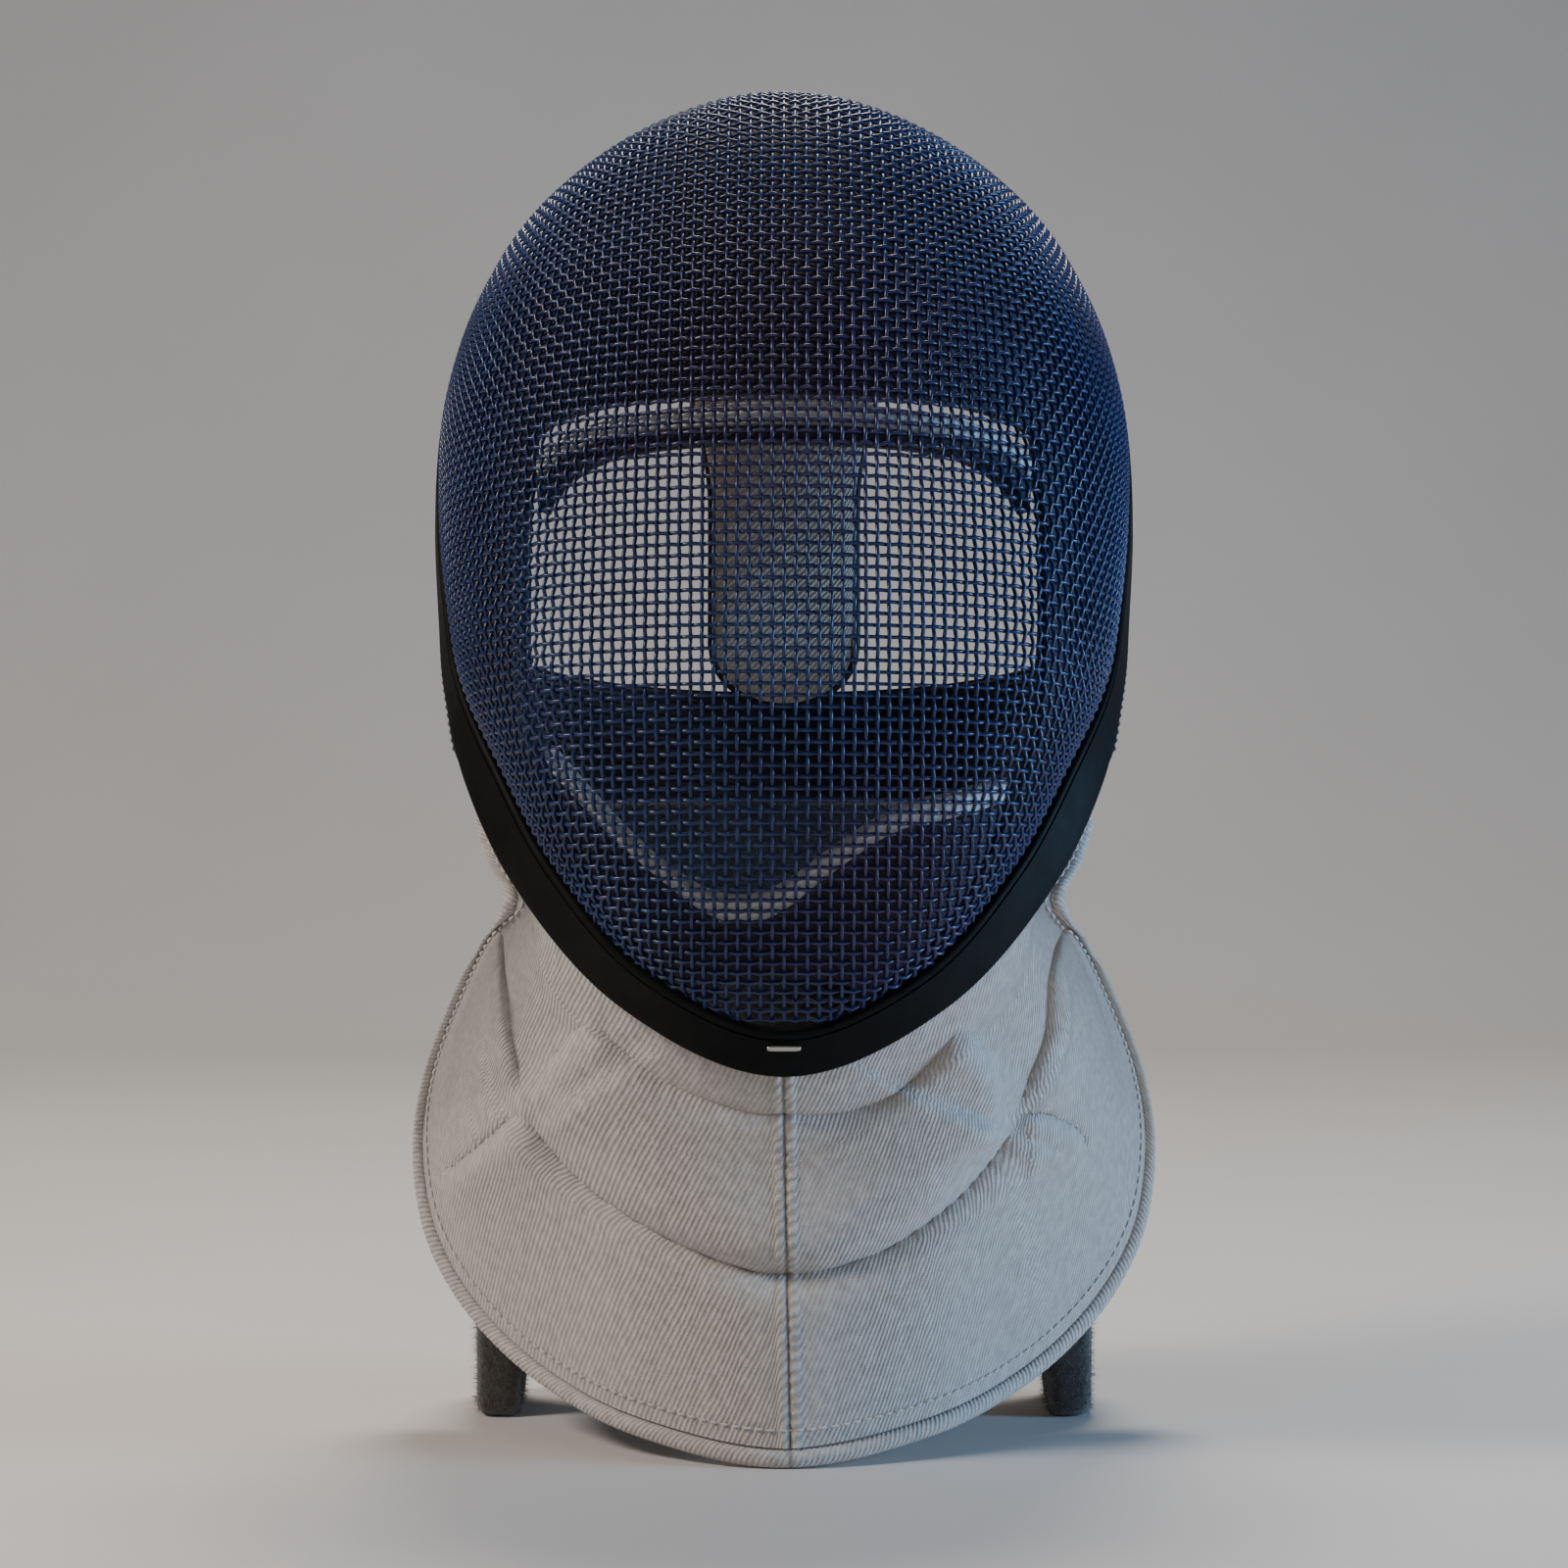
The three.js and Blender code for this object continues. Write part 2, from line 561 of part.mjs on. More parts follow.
// The stand: a board with an arched foot, a crest above it, and two arms that reach forward to carry
// the bib and the trim from behind. Felt covers all of it.
function standGeometry() {
  const board = new THREE.Shape();
  board.moveTo(-stand.half + stand.corner, 0);
  board.quadraticCurveTo(-stand.half, 0, -stand.half, stand.corner);
  board.lineTo(-stand.half, stand.straight);
  board.quadraticCurveTo(-stand.half, stand.shoulder, -stand.topHalf, stand.top);
  board.lineTo(stand.topHalf, stand.top);
  board.quadraticCurveTo(stand.half, stand.shoulder, stand.half, stand.straight);
  board.lineTo(stand.half, stand.corner);
  board.quadraticCurveTo(stand.half, 0, stand.half - stand.corner, 0);
  board.lineTo(stand.archHalf, 0);
  board.absellipse(0, 0, stand.archHalf, stand.archTall, 0, Math.PI, false);
  board.lineTo(-stand.half + stand.corner, 0);
  const geometry = new THREE.ExtrudeGeometry(board, {
    depth: stand.deep - 2 * stand.bevel,
    bevelEnabled: true,
    bevelSize: stand.bevel,
    bevelOffset: -stand.bevel,
    bevelThickness: stand.bevel,
    bevelSegments: 2,
    curveSegments: 12,
  });
  geometry.rotateX(Math.PI / 2);
  geometry.translate(0, stand.frontY + stand.deep - stand.bevel, 0);
  let solid = asSolid(geometry).add(asSolid(crestGeometry()));
  for (const side of [-1, 1]) {
    const behind = -(bibThick / 2 + 2 * gap);
    const rows = steps(stand.armFrom, stand.armTo, 8);
    const patch = (toBoard) => rows.map((row) => steps(stand.armTop, stand.armLow, 4).map((down) => {
      const point = bibAt(side * row, down, behind);
      return toBoard ? point.setY(stand.frontY + stand.deep / 2) : point;
    }));
    solid = solid.add(asSolid(solidBetween(patch(false), patch(true))));
  }
  return asGeometry(solid);
}

const colours = {
  navyWire: { color: 0x1f2f4a, roughness: 0.45, metalness: 0.6 },
  blackTrim: { color: 0x0b0c0b, roughness: 0.7, metalness: 0 },
  whiteTwill: { color: 0xd3ccc6, roughness: 0.9, metalness: 0 },
  navyPad: { color: 0x1c2133, roughness: 0.95, metalness: 0 },
  paleEdging: { color: 0x9a9da5, roughness: 0.9, metalness: 0 },
  navyElastic: { color: 0x0e1626, roughness: 0.9, metalness: 0 },
  greyPad: { color: 0x77777d, roughness: 0.95, metalness: 0 },
  paleMetal: { color: 0xc9c4b8, roughness: 0.35, metalness: 0.9 },
  greyFelt: { color: 0x2b2824, roughness: 1, metalness: 0 },
};

const mask = new THREE.Group();

function addPiece(name, geometry, colour) {
  const piece = new THREE.Mesh(geometry, new THREE.MeshStandardMaterial(colours[colour]));
  piece.name = name;
  mask.add(piece);
}

const browTurns = steps(-browBinding.turn, browBinding.turn, 20);
const chinTurns = steps(-chinPad.narrow, chinPad.narrow, 22);
addPiece('mesh_dome', domeGeometry(), 'navyWire');
addPiece('frame_trim', trimGeometry(), 'blackTrim');
addPiece('bib', bibGeometry(), 'whiteTwill');
addPiece('bib_hem', hemGeometry(), 'whiteTwill');
addPiece('lining_pad', liningGeometry(), 'navyPad');
addPiece('brow_binding', bindingGeometry(browTurns, browLow, browHigh), 'paleEdging');
addPiece('chin_pad', chinPadGeometry(), 'navyPad');
addPiece(
  'chin_binding',
  bindingGeometry(
    chinTurns,
    (turn) => chinTop(turn) + chinBinding.from,
    (turn) => chinTop(turn) + chinBinding.to,
  ),
  'paleEdging',
);
addPiece('back_strap', strapGeometry(), 'navyElastic');
addPiece('rear_tongue', tongueGeometry(), 'greyPad');
addPiece('rim_bar', rimBarGeometry(), 'paleMetal');
addPiece('stand', standGeometry(), 'greyFelt');

mask.position.y = middle;
mask.updateMatrixWorld(true);

export default mask;
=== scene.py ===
import bpy
import numpy as np
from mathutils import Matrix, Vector


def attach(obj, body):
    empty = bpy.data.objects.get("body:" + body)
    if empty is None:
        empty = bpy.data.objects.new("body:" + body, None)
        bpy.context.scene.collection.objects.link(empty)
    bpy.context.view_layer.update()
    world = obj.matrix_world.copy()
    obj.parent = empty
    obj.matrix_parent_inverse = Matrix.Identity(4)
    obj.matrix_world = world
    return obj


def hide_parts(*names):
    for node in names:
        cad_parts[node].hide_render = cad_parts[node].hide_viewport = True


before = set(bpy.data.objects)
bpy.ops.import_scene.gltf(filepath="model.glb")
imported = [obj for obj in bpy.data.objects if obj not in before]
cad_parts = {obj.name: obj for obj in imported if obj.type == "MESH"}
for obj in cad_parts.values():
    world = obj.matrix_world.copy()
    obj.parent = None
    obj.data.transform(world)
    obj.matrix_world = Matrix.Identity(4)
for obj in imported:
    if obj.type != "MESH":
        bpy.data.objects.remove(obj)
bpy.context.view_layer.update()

# The mask's own axes are in millimetres. The frame is in metres, with its middle moved by this much.
mm = 0.001
middleShift = 29.45

# The mask's sections from the chin up over the crown, as in the part's source.
sections = {
    "edgeX": [0, 40, 68, 86, 98.8, 104.6, 108.8, 109.6, 105, 97, 85.5, 65, 34.5, 0],
    "edgeY": [-95, -92, -78, -58, -36, -14, 8, 24, 33, 37, 38, 37, 33, 31],
    "edgeZ": [135, 152, 182, 212, 236, 257.7, 286, 314, 338.5, 357.5, 374, 389.5, 405, 413.5],
    "out": [14.5, 14, 14.2, 12.6, 6.5, 3.7, 2.2, 1.2, 1, 0.8, 0.6, -2, -5, -7],
    "back": [10, 11, 12.5, 13, 15, 15.3, 15.5, 15.5, 15.5, 15.5, 15.5, 15.2, 14.6, 14],
    "frontY": [-95, -109, -119, -124.5, -124.5, -120, -112, -101, -87, -69.5, -49, -24, 4, 31],
    "frontZ": [135, 160, 191, 222, 252, 282, 311, 338, 362, 384, 404, 418, 423, 413.5],
    "full": [0, 0.01, 0.02, 0.03, 0.035, 0.035, 0.03, 0.02, 0.015, 0.01, 0, 0, 0, 0],
    "crease": [0, 0.012, 0.022, 0.024, 0.018, 0.008, 0, 0, 0, 0, 0, 0, 0, 0],
}
sideCrease = {"at": 0.66, "half": 0.1}
crown = 13  # the last section
wallHalf = 1
trimHalf = 2.2
padSeat = 0.8
padThick = 9
padEdge = 0.16

camera = {"place": (0, -1.27055, 0.2498), "pitch": 88, "lens": 93.6, "sensor": 36}
stage = {"front": -9, "wall": 1.9, "bend": 0.7, "high": 5, "half": 8}
lights = [
    {"name": "key", "place": (-1.3, -0.5, 1.25), "aim": (0, 0, 0.2), "wide": 0.5, "power": 23,
     "tint": (1, 0.91, 0.82)},
    {"name": "blue_side", "place": (1.32, -0.22, 0.34), "aim": (0, 0, 0.16), "wide": 0.45, "power": 18,
     "tint": (0.34, 0.62, 1)},
    {"name": "crown_light", "place": (0.05, 0.5, 1.5), "aim": (0, 0, 0.38), "wide": 0.5, "power": 17,
     "tint": (1, 0.92, 0.82)},
    {"name": "front_fill", "place": (0.1, -1.9, 0.42), "aim": (0, 0, 0.26), "wide": 0.9, "power": 2.4,
     "tint": (1, 0.92, 0.86)},
    {"name": "wall_wash", "place": (0, 0.9, 2.6), "aim": (0, 1.9, 0.6), "wide": 1.4, "power": 5.5,
     "tint": (1, 0.94, 0.86)},
]
worldLight = {"tint": (0.9, 0.92, 1, 1), "strength": 0.045}


def putCameraAndStage():
    # The camera stands at the photograph's angle. The floor's profile runs level, turns up through a
    # quarter circle and goes on as a wall.
    data = bpy.data.cameras.new("camera")
    data.lens = camera["lens"]
    data.sensor_width = camera["sensor"]
    eye = bpy.data.objects.new("camera", data)
    eye.location = camera["place"]
    eye.rotation_euler = (np.radians(camera["pitch"]), 0, 0)
    bpy.context.scene.collection.objects.link(eye)
    bpy.context.scene.camera = eye

    turn = np.linspace(0, np.pi / 2, 24)
    bendStart = stage["wall"] - stage["bend"]
    y = np.concatenate([[stage["front"]], bendStart + stage["bend"] * np.sin(turn), [stage["wall"]]])
    z = np.concatenate([[0], stage["bend"] * (1 - np.cos(turn)), [stage["high"]]])
    x = np.array([-stage["half"], stage["half"]])
    points = np.stack(np.broadcast_arrays(x[None], y[:, None], z[:, None]), -1)
    floor = putMesh("floor", points.reshape(-1, 3), gridFaces(len(y), 2)[:, ::-1])
    floor.data.materials.append(floorFinish())


def putLights():
    # Round area lights, each turned from its place to its aim, and a dim even sky.
    for light in lights:
        data = bpy.data.lights.new(light["name"], "AREA")
        data.shape = "DISK"
        data.size = light["wide"]
        data.energy = light["power"]
        data.color = light["tint"]
        lamp = bpy.data.objects.new(light["name"], data)
        lamp.location = light["place"]
        way = Vector(light["aim"]) - Vector(light["place"])
        lamp.rotation_euler = way.to_track_quat("-Z", "Y").to_euler()
        bpy.context.scene.collection.objects.link(lamp)
    world = bpy.data.worlds.new("studio")
    world.use_nodes = True
    sky = world.node_tree.nodes["Background"]
    sky.inputs["Color"].default_value = worldLight["tint"]
    sky.inputs["Strength"].default_value = worldLight["strength"]
    bpy.context.scene.world = world


def gridFaces(rows, columns, wrapRows=False, wrapColumns=False):
    # Four-cornered faces of a grid of points numbered row by row, joined round where it wraps.
    r = np.arange(rows if wrapRows else rows - 1)[:, None]
    c = np.arange(columns if wrapColumns else columns - 1)[None]
    nextR, nextC = (r + 1) % rows, (c + 1) % columns
    corners = [r * columns + c, r * columns + nextC, nextR * columns + nextC, nextR * columns + c]
    return np.stack(corners, -1).reshape(-1, 4)


def signedVolume(points, faces):
    # Six times the enclosed volume: the sum of corner . (next corner x the one after), over all faces.
    a = points[faces[:, 0]]
    total = 0.0
    for k in range(1, faces.shape[1] - 1):
        total += np.einsum("ij,ij->", a, np.cross(points[faces[:, k]], points[faces[:, k + 1]]))
    return total


def readMany(items, name, size=1, kind=float):
    # One property of all of a mesh's points, corners or faces as an array, size numbers for each.
    values = np.empty(len(items) * size, kind)
    items.foreach_get(name, values)
    return values if size == 1 else values.reshape(-1, size)


def putMesh(name, points, faces, extra=(), uv=None, sharp=None):
    # A new object from points in metres. The extra faces may have other numbers of corners.
    mesh = bpy.data.meshes.new(name)
    allFaces = np.asarray(faces).tolist() + [list(f) for f in extra]
    mesh.from_pydata(np.asarray(points, float).tolist(), [], allFaces)
    mesh.polygons.foreach_set("use_smooth", np.ones(len(mesh.polygons), bool))
    if uv is not None:
        layer = mesh.uv_layers.new(name="cloth")
        corner = readMany(mesh.loops, "vertex_index", kind=np.int32)
        layer.data.foreach_set("uv", np.asarray(uv, np.float32).reshape(-1, 2)[corner].ravel())
    if sharp:
        mesh.set_sharp_from_angle(angle=np.radians(sharp))
    mesh.update()
    piece = bpy.data.objects.new(name, mesh)
    bpy.context.scene.collection.objects.link(piece)
    return piece


def toScene(points):
    # From the mask's own millimetres to the frame's metres.
    return (np.asarray(points, float) + (0, middleShift, 0)) * mm


def finishPiece(piece, material, nodes=()):
    # Gives a piece its finish and its body, and hides the CAD nodes that it stands for.
    piece.data.materials.append(material)
    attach(piece, "root")
    if nodes:
        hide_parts(*nodes)
    return piece


def shell(name, outer, inner, uv):
    # A closed shell: two grids of points, and a wall round their four edges.
    rows, columns = outer.shape[:2]
    count = rows * columns
    sheet = gridFaces(rows, columns)
    top, low = np.arange(columns), (rows - 1) * columns + np.arange(columns)
    left, right = np.arange(rows) * columns, np.arange(rows) * columns + columns - 1
    rim = np.concatenate([top, right[1:], low[::-1][1:], left[::-1][1:-1]])
    ahead = np.roll(rim, -1)
    walls = np.stack([rim, rim + count, ahead + count, ahead], -1)
    faces = np.concatenate([sheet, sheet[:, ::-1] + count, walls])
    points = np.concatenate([outer.reshape(-1, 3), inner.reshape(-1, 3)])
    if signedVolume(points, faces) < 0:
        faces = faces[:, ::-1]
    return putMesh(name, toScene(points), faces, uv=np.concatenate([uv.reshape(-1, 2)] * 2), sharp=50)


def sweep(name, loops, isRing=False, uv=None, sharp=60):
    # Closed bodies through equal loops of points, joined end to end or with flat ends. Loops may be
    # given for many bodies of the same build: the first one's faces are then numbered on for the rest.
    loops = loops.reshape(-1, *loops.shape[-3:])
    bodies, count, sides = loops.shape[:3]
    faces = gridFaces(count, sides, wrapRows=isRing, wrapColumns=True)
    ends = np.stack([np.arange(sides)[::-1], (count - 1) * sides + np.arange(sides)])
    first = loops[0].reshape(-1, 3)
    if signedVolume(first - first.mean(0), faces) < 0:
        faces, ends = faces[:, ::-1], ends[:, ::-1]
    step = (np.arange(bodies) * count * sides)[:, None, None]
    extra = [] if isRing else (ends + step).reshape(-1, sides).tolist()
    return putMesh(name, toScene(loops.reshape(-1, 3)), (faces + step).reshape(-1, 4), extra=extra, uv=uv,
                   sharp=sharp)


def runLength(line):
    # The distance along a line of points from its first one.
    return np.concatenate([[0], np.cumsum(np.linalg.norm(np.diff(line, axis=0), axis=-1))])


def stitchLoops(line, normals, size):
    # Stitches in a row along a line of points: each is a tube that rises off the cloth and sinks back,
    # height = rise sin(pi t), and is thickest in its middle.
    run = runLength(line)
    count = int(run[-1] / size["step"])
    t = np.linspace(0, 1, 6)
    place = (np.arange(count)[:, None] + 0.5 + (t - 0.5) * size["share"]) * size["step"]
    read = lambda values: np.stack([np.interp(place, run, values[:, k]) for k in range(3)], -1)
    normal = unit(read(normals))
    middle = read(line) + normal * (size["rise"] * np.sin(np.pi * t)[None, :, None])
    across, up = axesRound(unit(np.gradient(middle, axis=1)), normal)
    radius = size["radius"] * (0.5 + 0.5 * np.sin(np.pi * t))[None, :, None, None]
    return middle[:, :, None] + radius * ringRound(up, across, 6)


def stitchRows(name, rows, size, material):
    # One piece for several rows, each given as its line and the normals along it.
    loops = np.concatenate([stitchLoops(line, normals, size) for line, normals in rows])
    return finishPiece(sweep(name, loops, sharp=None), material)


def readRows(column, place, before, after):
    # A smooth curve through a column's values (Catmull-Rom). Past its ends the value is the mirrored
    # one times a sign, or with 0 the slope goes on.
    values = np.asarray(column, float)
    last = len(values) - 1
    first = before * values[1] if before else 2 * values[0] - values[1]
    beyond = after * values[last - 1] if after else 2 * values[last] - values[last - 1]
    padded = np.concatenate([[first], values, [beyond]])
    place = np.asarray(place, float)
    whole = np.clip(np.floor(place), 0, last - 1).astype(int)
    t = place - whole
    return ((-t + 2 * t**2 - t**3) * padded[whole] + (2 - 5 * t**2 + 3 * t**3) * padded[whole + 1]
            + (t + 4 * t**2 - 3 * t**3) * padded[whole + 2] + (-t**2 + t**3) * padded[whole + 3]) / 2


def mix(a, b, t):
    # The value a share t of the way from a to b.
    return a + (b - a) * t


def smooth(t):
    # The S-curve t t (3 - 2 t), held at its ends.
    t = np.clip(t, 0, 1)
    return t * t * (3 - 2 * t)


def bell(away, half):
    # exp(-(away / half) squared): 1 in the middle, falling off on both sides.
    return np.exp(-((away / half) ** 2))


def squarish(a, power):
    # The sign of a times |a| to a power, which turns a circle into a superellipse.
    return np.sign(a) * np.abs(a) ** power


def unit(v):
    # A vector over its length.
    return v / np.linalg.norm(v, axis=-1, keepdims=True)


def together(a, b):
    # Two arrays of numbers, stretched to the same shape.
    return np.broadcast_arrays(np.asarray(a, float), np.asarray(b, float))


def circle(sides):
    # Angles in equal steps all the way round.
    return np.arange(sides) * 2 * np.pi / sides


def spread(rows, columns):
    # Two lines of values as a grid: the first goes down its rows and the second along them.
    return np.broadcast_arrays(rows[:, None], columns[None])


def axesRound(way, normal):
    # The two directions square to a way, across it and up from it, as cross products.
    across = unit(np.cross(way, normal) + 1e-12)
    return across, np.cross(across, way)


def ringRound(first, second, sides):
    # A circle of points round each place: first cos a + second sin a.
    angle = circle(sides)
    return np.cos(angle)[:, None] * first[..., None, :] + np.sin(angle)[:, None] * second[..., None, :]


def readPoint(table, name, at, after):
    # A point read from a table's X, Y and Z columns at |at|, on the left side where at is negative.
    at = np.asarray(at, float)
    x, y, z = (readRows(table[name + axis], np.abs(at), sign, sign * after)
               for axis, sign in (("X", -1), ("Y", 1), ("Z", 1)))
    return np.stack([np.where(at < 0, -x, x), y, z], -1)


def meshEdge(at):
    # Where the mesh ends at the side, by section. A negative section is the left side.
    return readPoint(sections, "edge", at, 1)


def domePoint(turn, at):
    # Half an ellipse from the left side over the front to the right, with sine across and cosine
    # forward, times a swell that makes its sides fuller and gives them a soft crease.
    turn, at = together(turn, at)
    side = meshEdge(at)
    angle = turn * np.pi / 2
    sine, cosine = np.sin(angle), np.cos(angle)
    peak = 1 / (1 + ((np.abs(sine) - sideCrease["at"]) / sideCrease["half"]) ** 2)
    swell = (1 + readRows(sections["full"], at, 1, 1) * np.sin(2 * angle) ** 2
             + readRows(sections["crease"], at, 1, 1) * peak * cosine)
    frontY = readRows(sections["frontY"], at, 0, 0)
    frontZ = readRows(sections["frontZ"], at, 0, 0)
    return np.stack([side[..., 0] * sine * swell,
                     mix(side[..., 1], frontY, cosine * swell),
                     mix(side[..., 2], frontZ, cosine * swell)], -1)


def surfaceNormal(surface, u, v, step):
    # The outward normal: the cross product of small steps along a surface's two directions.
    alongU, alongV = surface(u + step, v) - surface(u - step, v), surface(u, v + step) - surface(u, v - step)
    return unit(np.cross(alongU, alongV))


def domeNormal(turn, at):
    # The dome's outward normal, kept a little inside its ends, where it is a point.
    place = np.clip(at, 0.06, crown - 0.06)
    isEnd = (at < 1e-6) | (at > crown - 1e-6)
    across = np.where(isEnd, 0, np.clip(turn, -0.999, 0.999))
    return surfaceNormal(domePoint, across, place, 0.002)


def domeAt(turn, at, outward):
    # The dome's point moved out of it by a distance.
    turn, at = together(turn, at)
    isEnd = (at < 1e-6) | (at > crown - 1e-6)
    return domePoint(np.where(isEnd, 0, turn), at) + domeNormal(turn, at) * np.asarray(outward)[..., None]


def trimFrame(at):
    # The trim band's axes at a section: its start, the way across it and its outward normal.
    at = np.asarray(at, float)
    start = meshEdge(at)
    along = unit(meshEdge(at + 0.01) - meshEdge(at - 0.01))
    place = np.abs(at)
    out = readRows(sections["out"], place, 1, 1)
    back = readRows(sections["back"], place, 1, 1)
    flat = np.hypot(along[..., 0], along[..., 2])
    across = np.stack([out * along[..., 2] / flat, back, -out * along[..., 0] / flat], -1)
    width = np.linalg.norm(across, axis=-1)
    across = across / width[..., None]
    normal = unit(np.cross(across, along))
    lean = np.abs(np.sum((domeAt(np.where(at < 0, -1, 1), place, 1.0) - start) * across, -1))
    return {"start": start, "across": across, "normal": normal, "width": width, "seat": 0.3 + lean * wallHalf}


def trimPoint(at, across, outward):
    # The band's start, plus a distance across it and a distance out of it.
    band = trimFrame(at)
    return (band["start"] + band["across"] * np.asarray(across)[..., None]
            + band["normal"] * np.asarray(outward)[..., None])


def newFinish(name):
    # A new material, its node tree and its shader.
    material = bpy.data.materials.new(name)
    material.use_nodes = True
    tree = material.node_tree
    return material, tree, tree.nodes["Principled BSDF"]


def setSockets(tree, node, **sockets):
    # Sets a node's sockets, named or numbered as i0, to values or joins them to other nodes' sockets.
    for key, value in sockets.items():
        socket = node.inputs[int(key[1:])] if key[1:].isdigit() else node.inputs[key.replace("_", " ")]
        if isinstance(value, bpy.types.NodeSocket):
            tree.links.new(value, socket)
        else:
            socket.default_value = value
    return node


def addNode(tree, kind, settings=None, **sockets):
    # A new node with its settings and its sockets.
    node = tree.nodes.new(kind)
    for key, value in (settings or {}).items():
        setattr(node, key, value)
    return setSockets(tree, node, **sockets)


def objectPlace(tree):
    # The place on the piece, in metres.
    return addNode(tree, "ShaderNodeTexCoord").outputs["Object"]


def mathNode(tree, operation, a, b=0.0, c=0.0):
    # One step of arithmetic on sockets or numbers: with MULTIPLY_ADD it is a b + c.
    return addNode(tree, "ShaderNodeMath", {"operation": operation}, i0=a, i1=b, i2=c).outputs[0]


def times(tree, a, b):
    # The product of two sockets or numbers.
    return mathNode(tree, "MULTIPLY", a, b)


def plus(tree, a, b):
    # The sum of two sockets or numbers.
    return mathNode(tree, "ADD", a, b)


def noise(tree, vector, scale, detail=3.0, rough=0.55):
    # A cloudy pattern from 0 to 1, with its scale in waves for each metre.
    return addNode(tree, "ShaderNodeTexNoise", None, Vector=vector, Scale=scale, Detail=detail,
                   Roughness=rough).outputs[0]


def ramp(tree, factor, stops):
    # A colour ramp from (place, colour) pairs.
    node = addNode(tree, "ShaderNodeValToRGB", None, Fac=factor)
    elements = node.color_ramp.elements
    while len(elements) < len(stops):
        elements.new(0.5)
    for element, (place, colour) in zip(elements, stops):
        element.position = place
        element.color = (*colour, 1)
    return node.outputs["Color"]


def bump(tree, height, strength, distance, **under):
    # A normal tilted by the slope of a height, over another normal where one is given.
    node = addNode(tree, "ShaderNodeBump", None, Height=height, Strength=strength, Distance=distance, **under)
    return node.outputs["Normal"]


def floorFinish():
    # Pale matt paint, very slightly cloudy.
    material, tree, shader = newFinish("pale_floor")
    cloud = noise(tree, objectPlace(tree), 3.0)
    tone = ramp(tree, cloud, [(0.3, (0.56, 0.54, 0.52)), (0.7, (0.59, 0.57, 0.55))])
    setSockets(tree, shader, Base_Color=tone, Roughness=0.85)
    return material


def nearPlace(tree, place, centre, reach):
    # 1 at a centre, falling to 0 at a distance from it.
    between = addNode(tree, "ShaderNodeVectorMath", {"operation": "DISTANCE"}, i0=place, i1=centre)
    away = between.outputs["Value"]
    return addNode(tree, "ShaderNodeMapRange", {"interpolation_type": "SMOOTHSTEP"}, Value=away,
                   From_Min=0.0, From_Max=reach, To_Min=1.0, To_Max=0.0).outputs[0]


def blend(tree, share, first, second):
    # Two colours mixed by a share.
    return addNode(tree, "ShaderNodeMix", {"data_type": "RGBA"}, i0=share, i6=first, i7=second).outputs[2]


def wireFinish():
    # Navy paint on wire, a little thinner in places, with a plum tint over the forehead and the chin that is
    # a painted warm reflection.
    material, tree, shader = newFinish("navy_wire")
    place = objectPlace(tree)
    navy = ramp(tree, noise(tree, place, 45.0), [(0.3, (0.006, 0.016, 0.07)), (0.7, (0.01, 0.028, 0.11))])
    # Painted warm reflection: plum over the forehead and the chin, mixed into the navy below.
    paintedReflectionPlum = ramp(tree, noise(tree, place, 60.0), [(0.3, (0.022, 0.012, 0.048)), (0.7, (0.04, 0.02, 0.075))])
    forehead = nearPlace(tree, place, (0.0, -0.06, 0.325), 0.085)
    jaw = nearPlace(tree, place, (0.035, -0.085, 0.175), 0.06)
    share = times(tree, mathNode(tree, "MAXIMUM", forehead, jaw), 0.85)
    tone = blend(tree, share, navy, paintedReflectionPlum)
    rough = mathNode(tree, "MULTIPLY_ADD", noise(tree, place, 260.0), 0.2, 0.24)
    grain = bump(tree, noise(tree, place, 900.0), 0.25, 0.0002)
    setSockets(tree, shader, Base_Color=tone, Roughness=rough, Specular_IOR_Level=0.4, Coat_Weight=0.22,
               Coat_Roughness=0.22, Normal=grain)
    return material


def trimFinish():
    # Black moulded rubbery plastic: fine grain, with slightly greyer, smoother wear.
    material, tree, shader = newFinish("black_trim")
    place = objectPlace(tree)
    black, worn = (0.0025, 0.003, 0.003), (0.006, 0.0065, 0.007)
    tone = ramp(tree, noise(tree, place, 60.0), [(0.35, black), (0.75, worn)])
    rough = mathNode(tree, "MULTIPLY_ADD", noise(tree, place, 140.0), 0.2, 0.48)
    grain = bump(tree, noise(tree, place, 1500.0), 0.3, 0.0002)
    setSockets(tree, shader, Base_Color=tone, Roughness=rough, Specular_IOR_Level=0.12, Normal=grain)
    return material


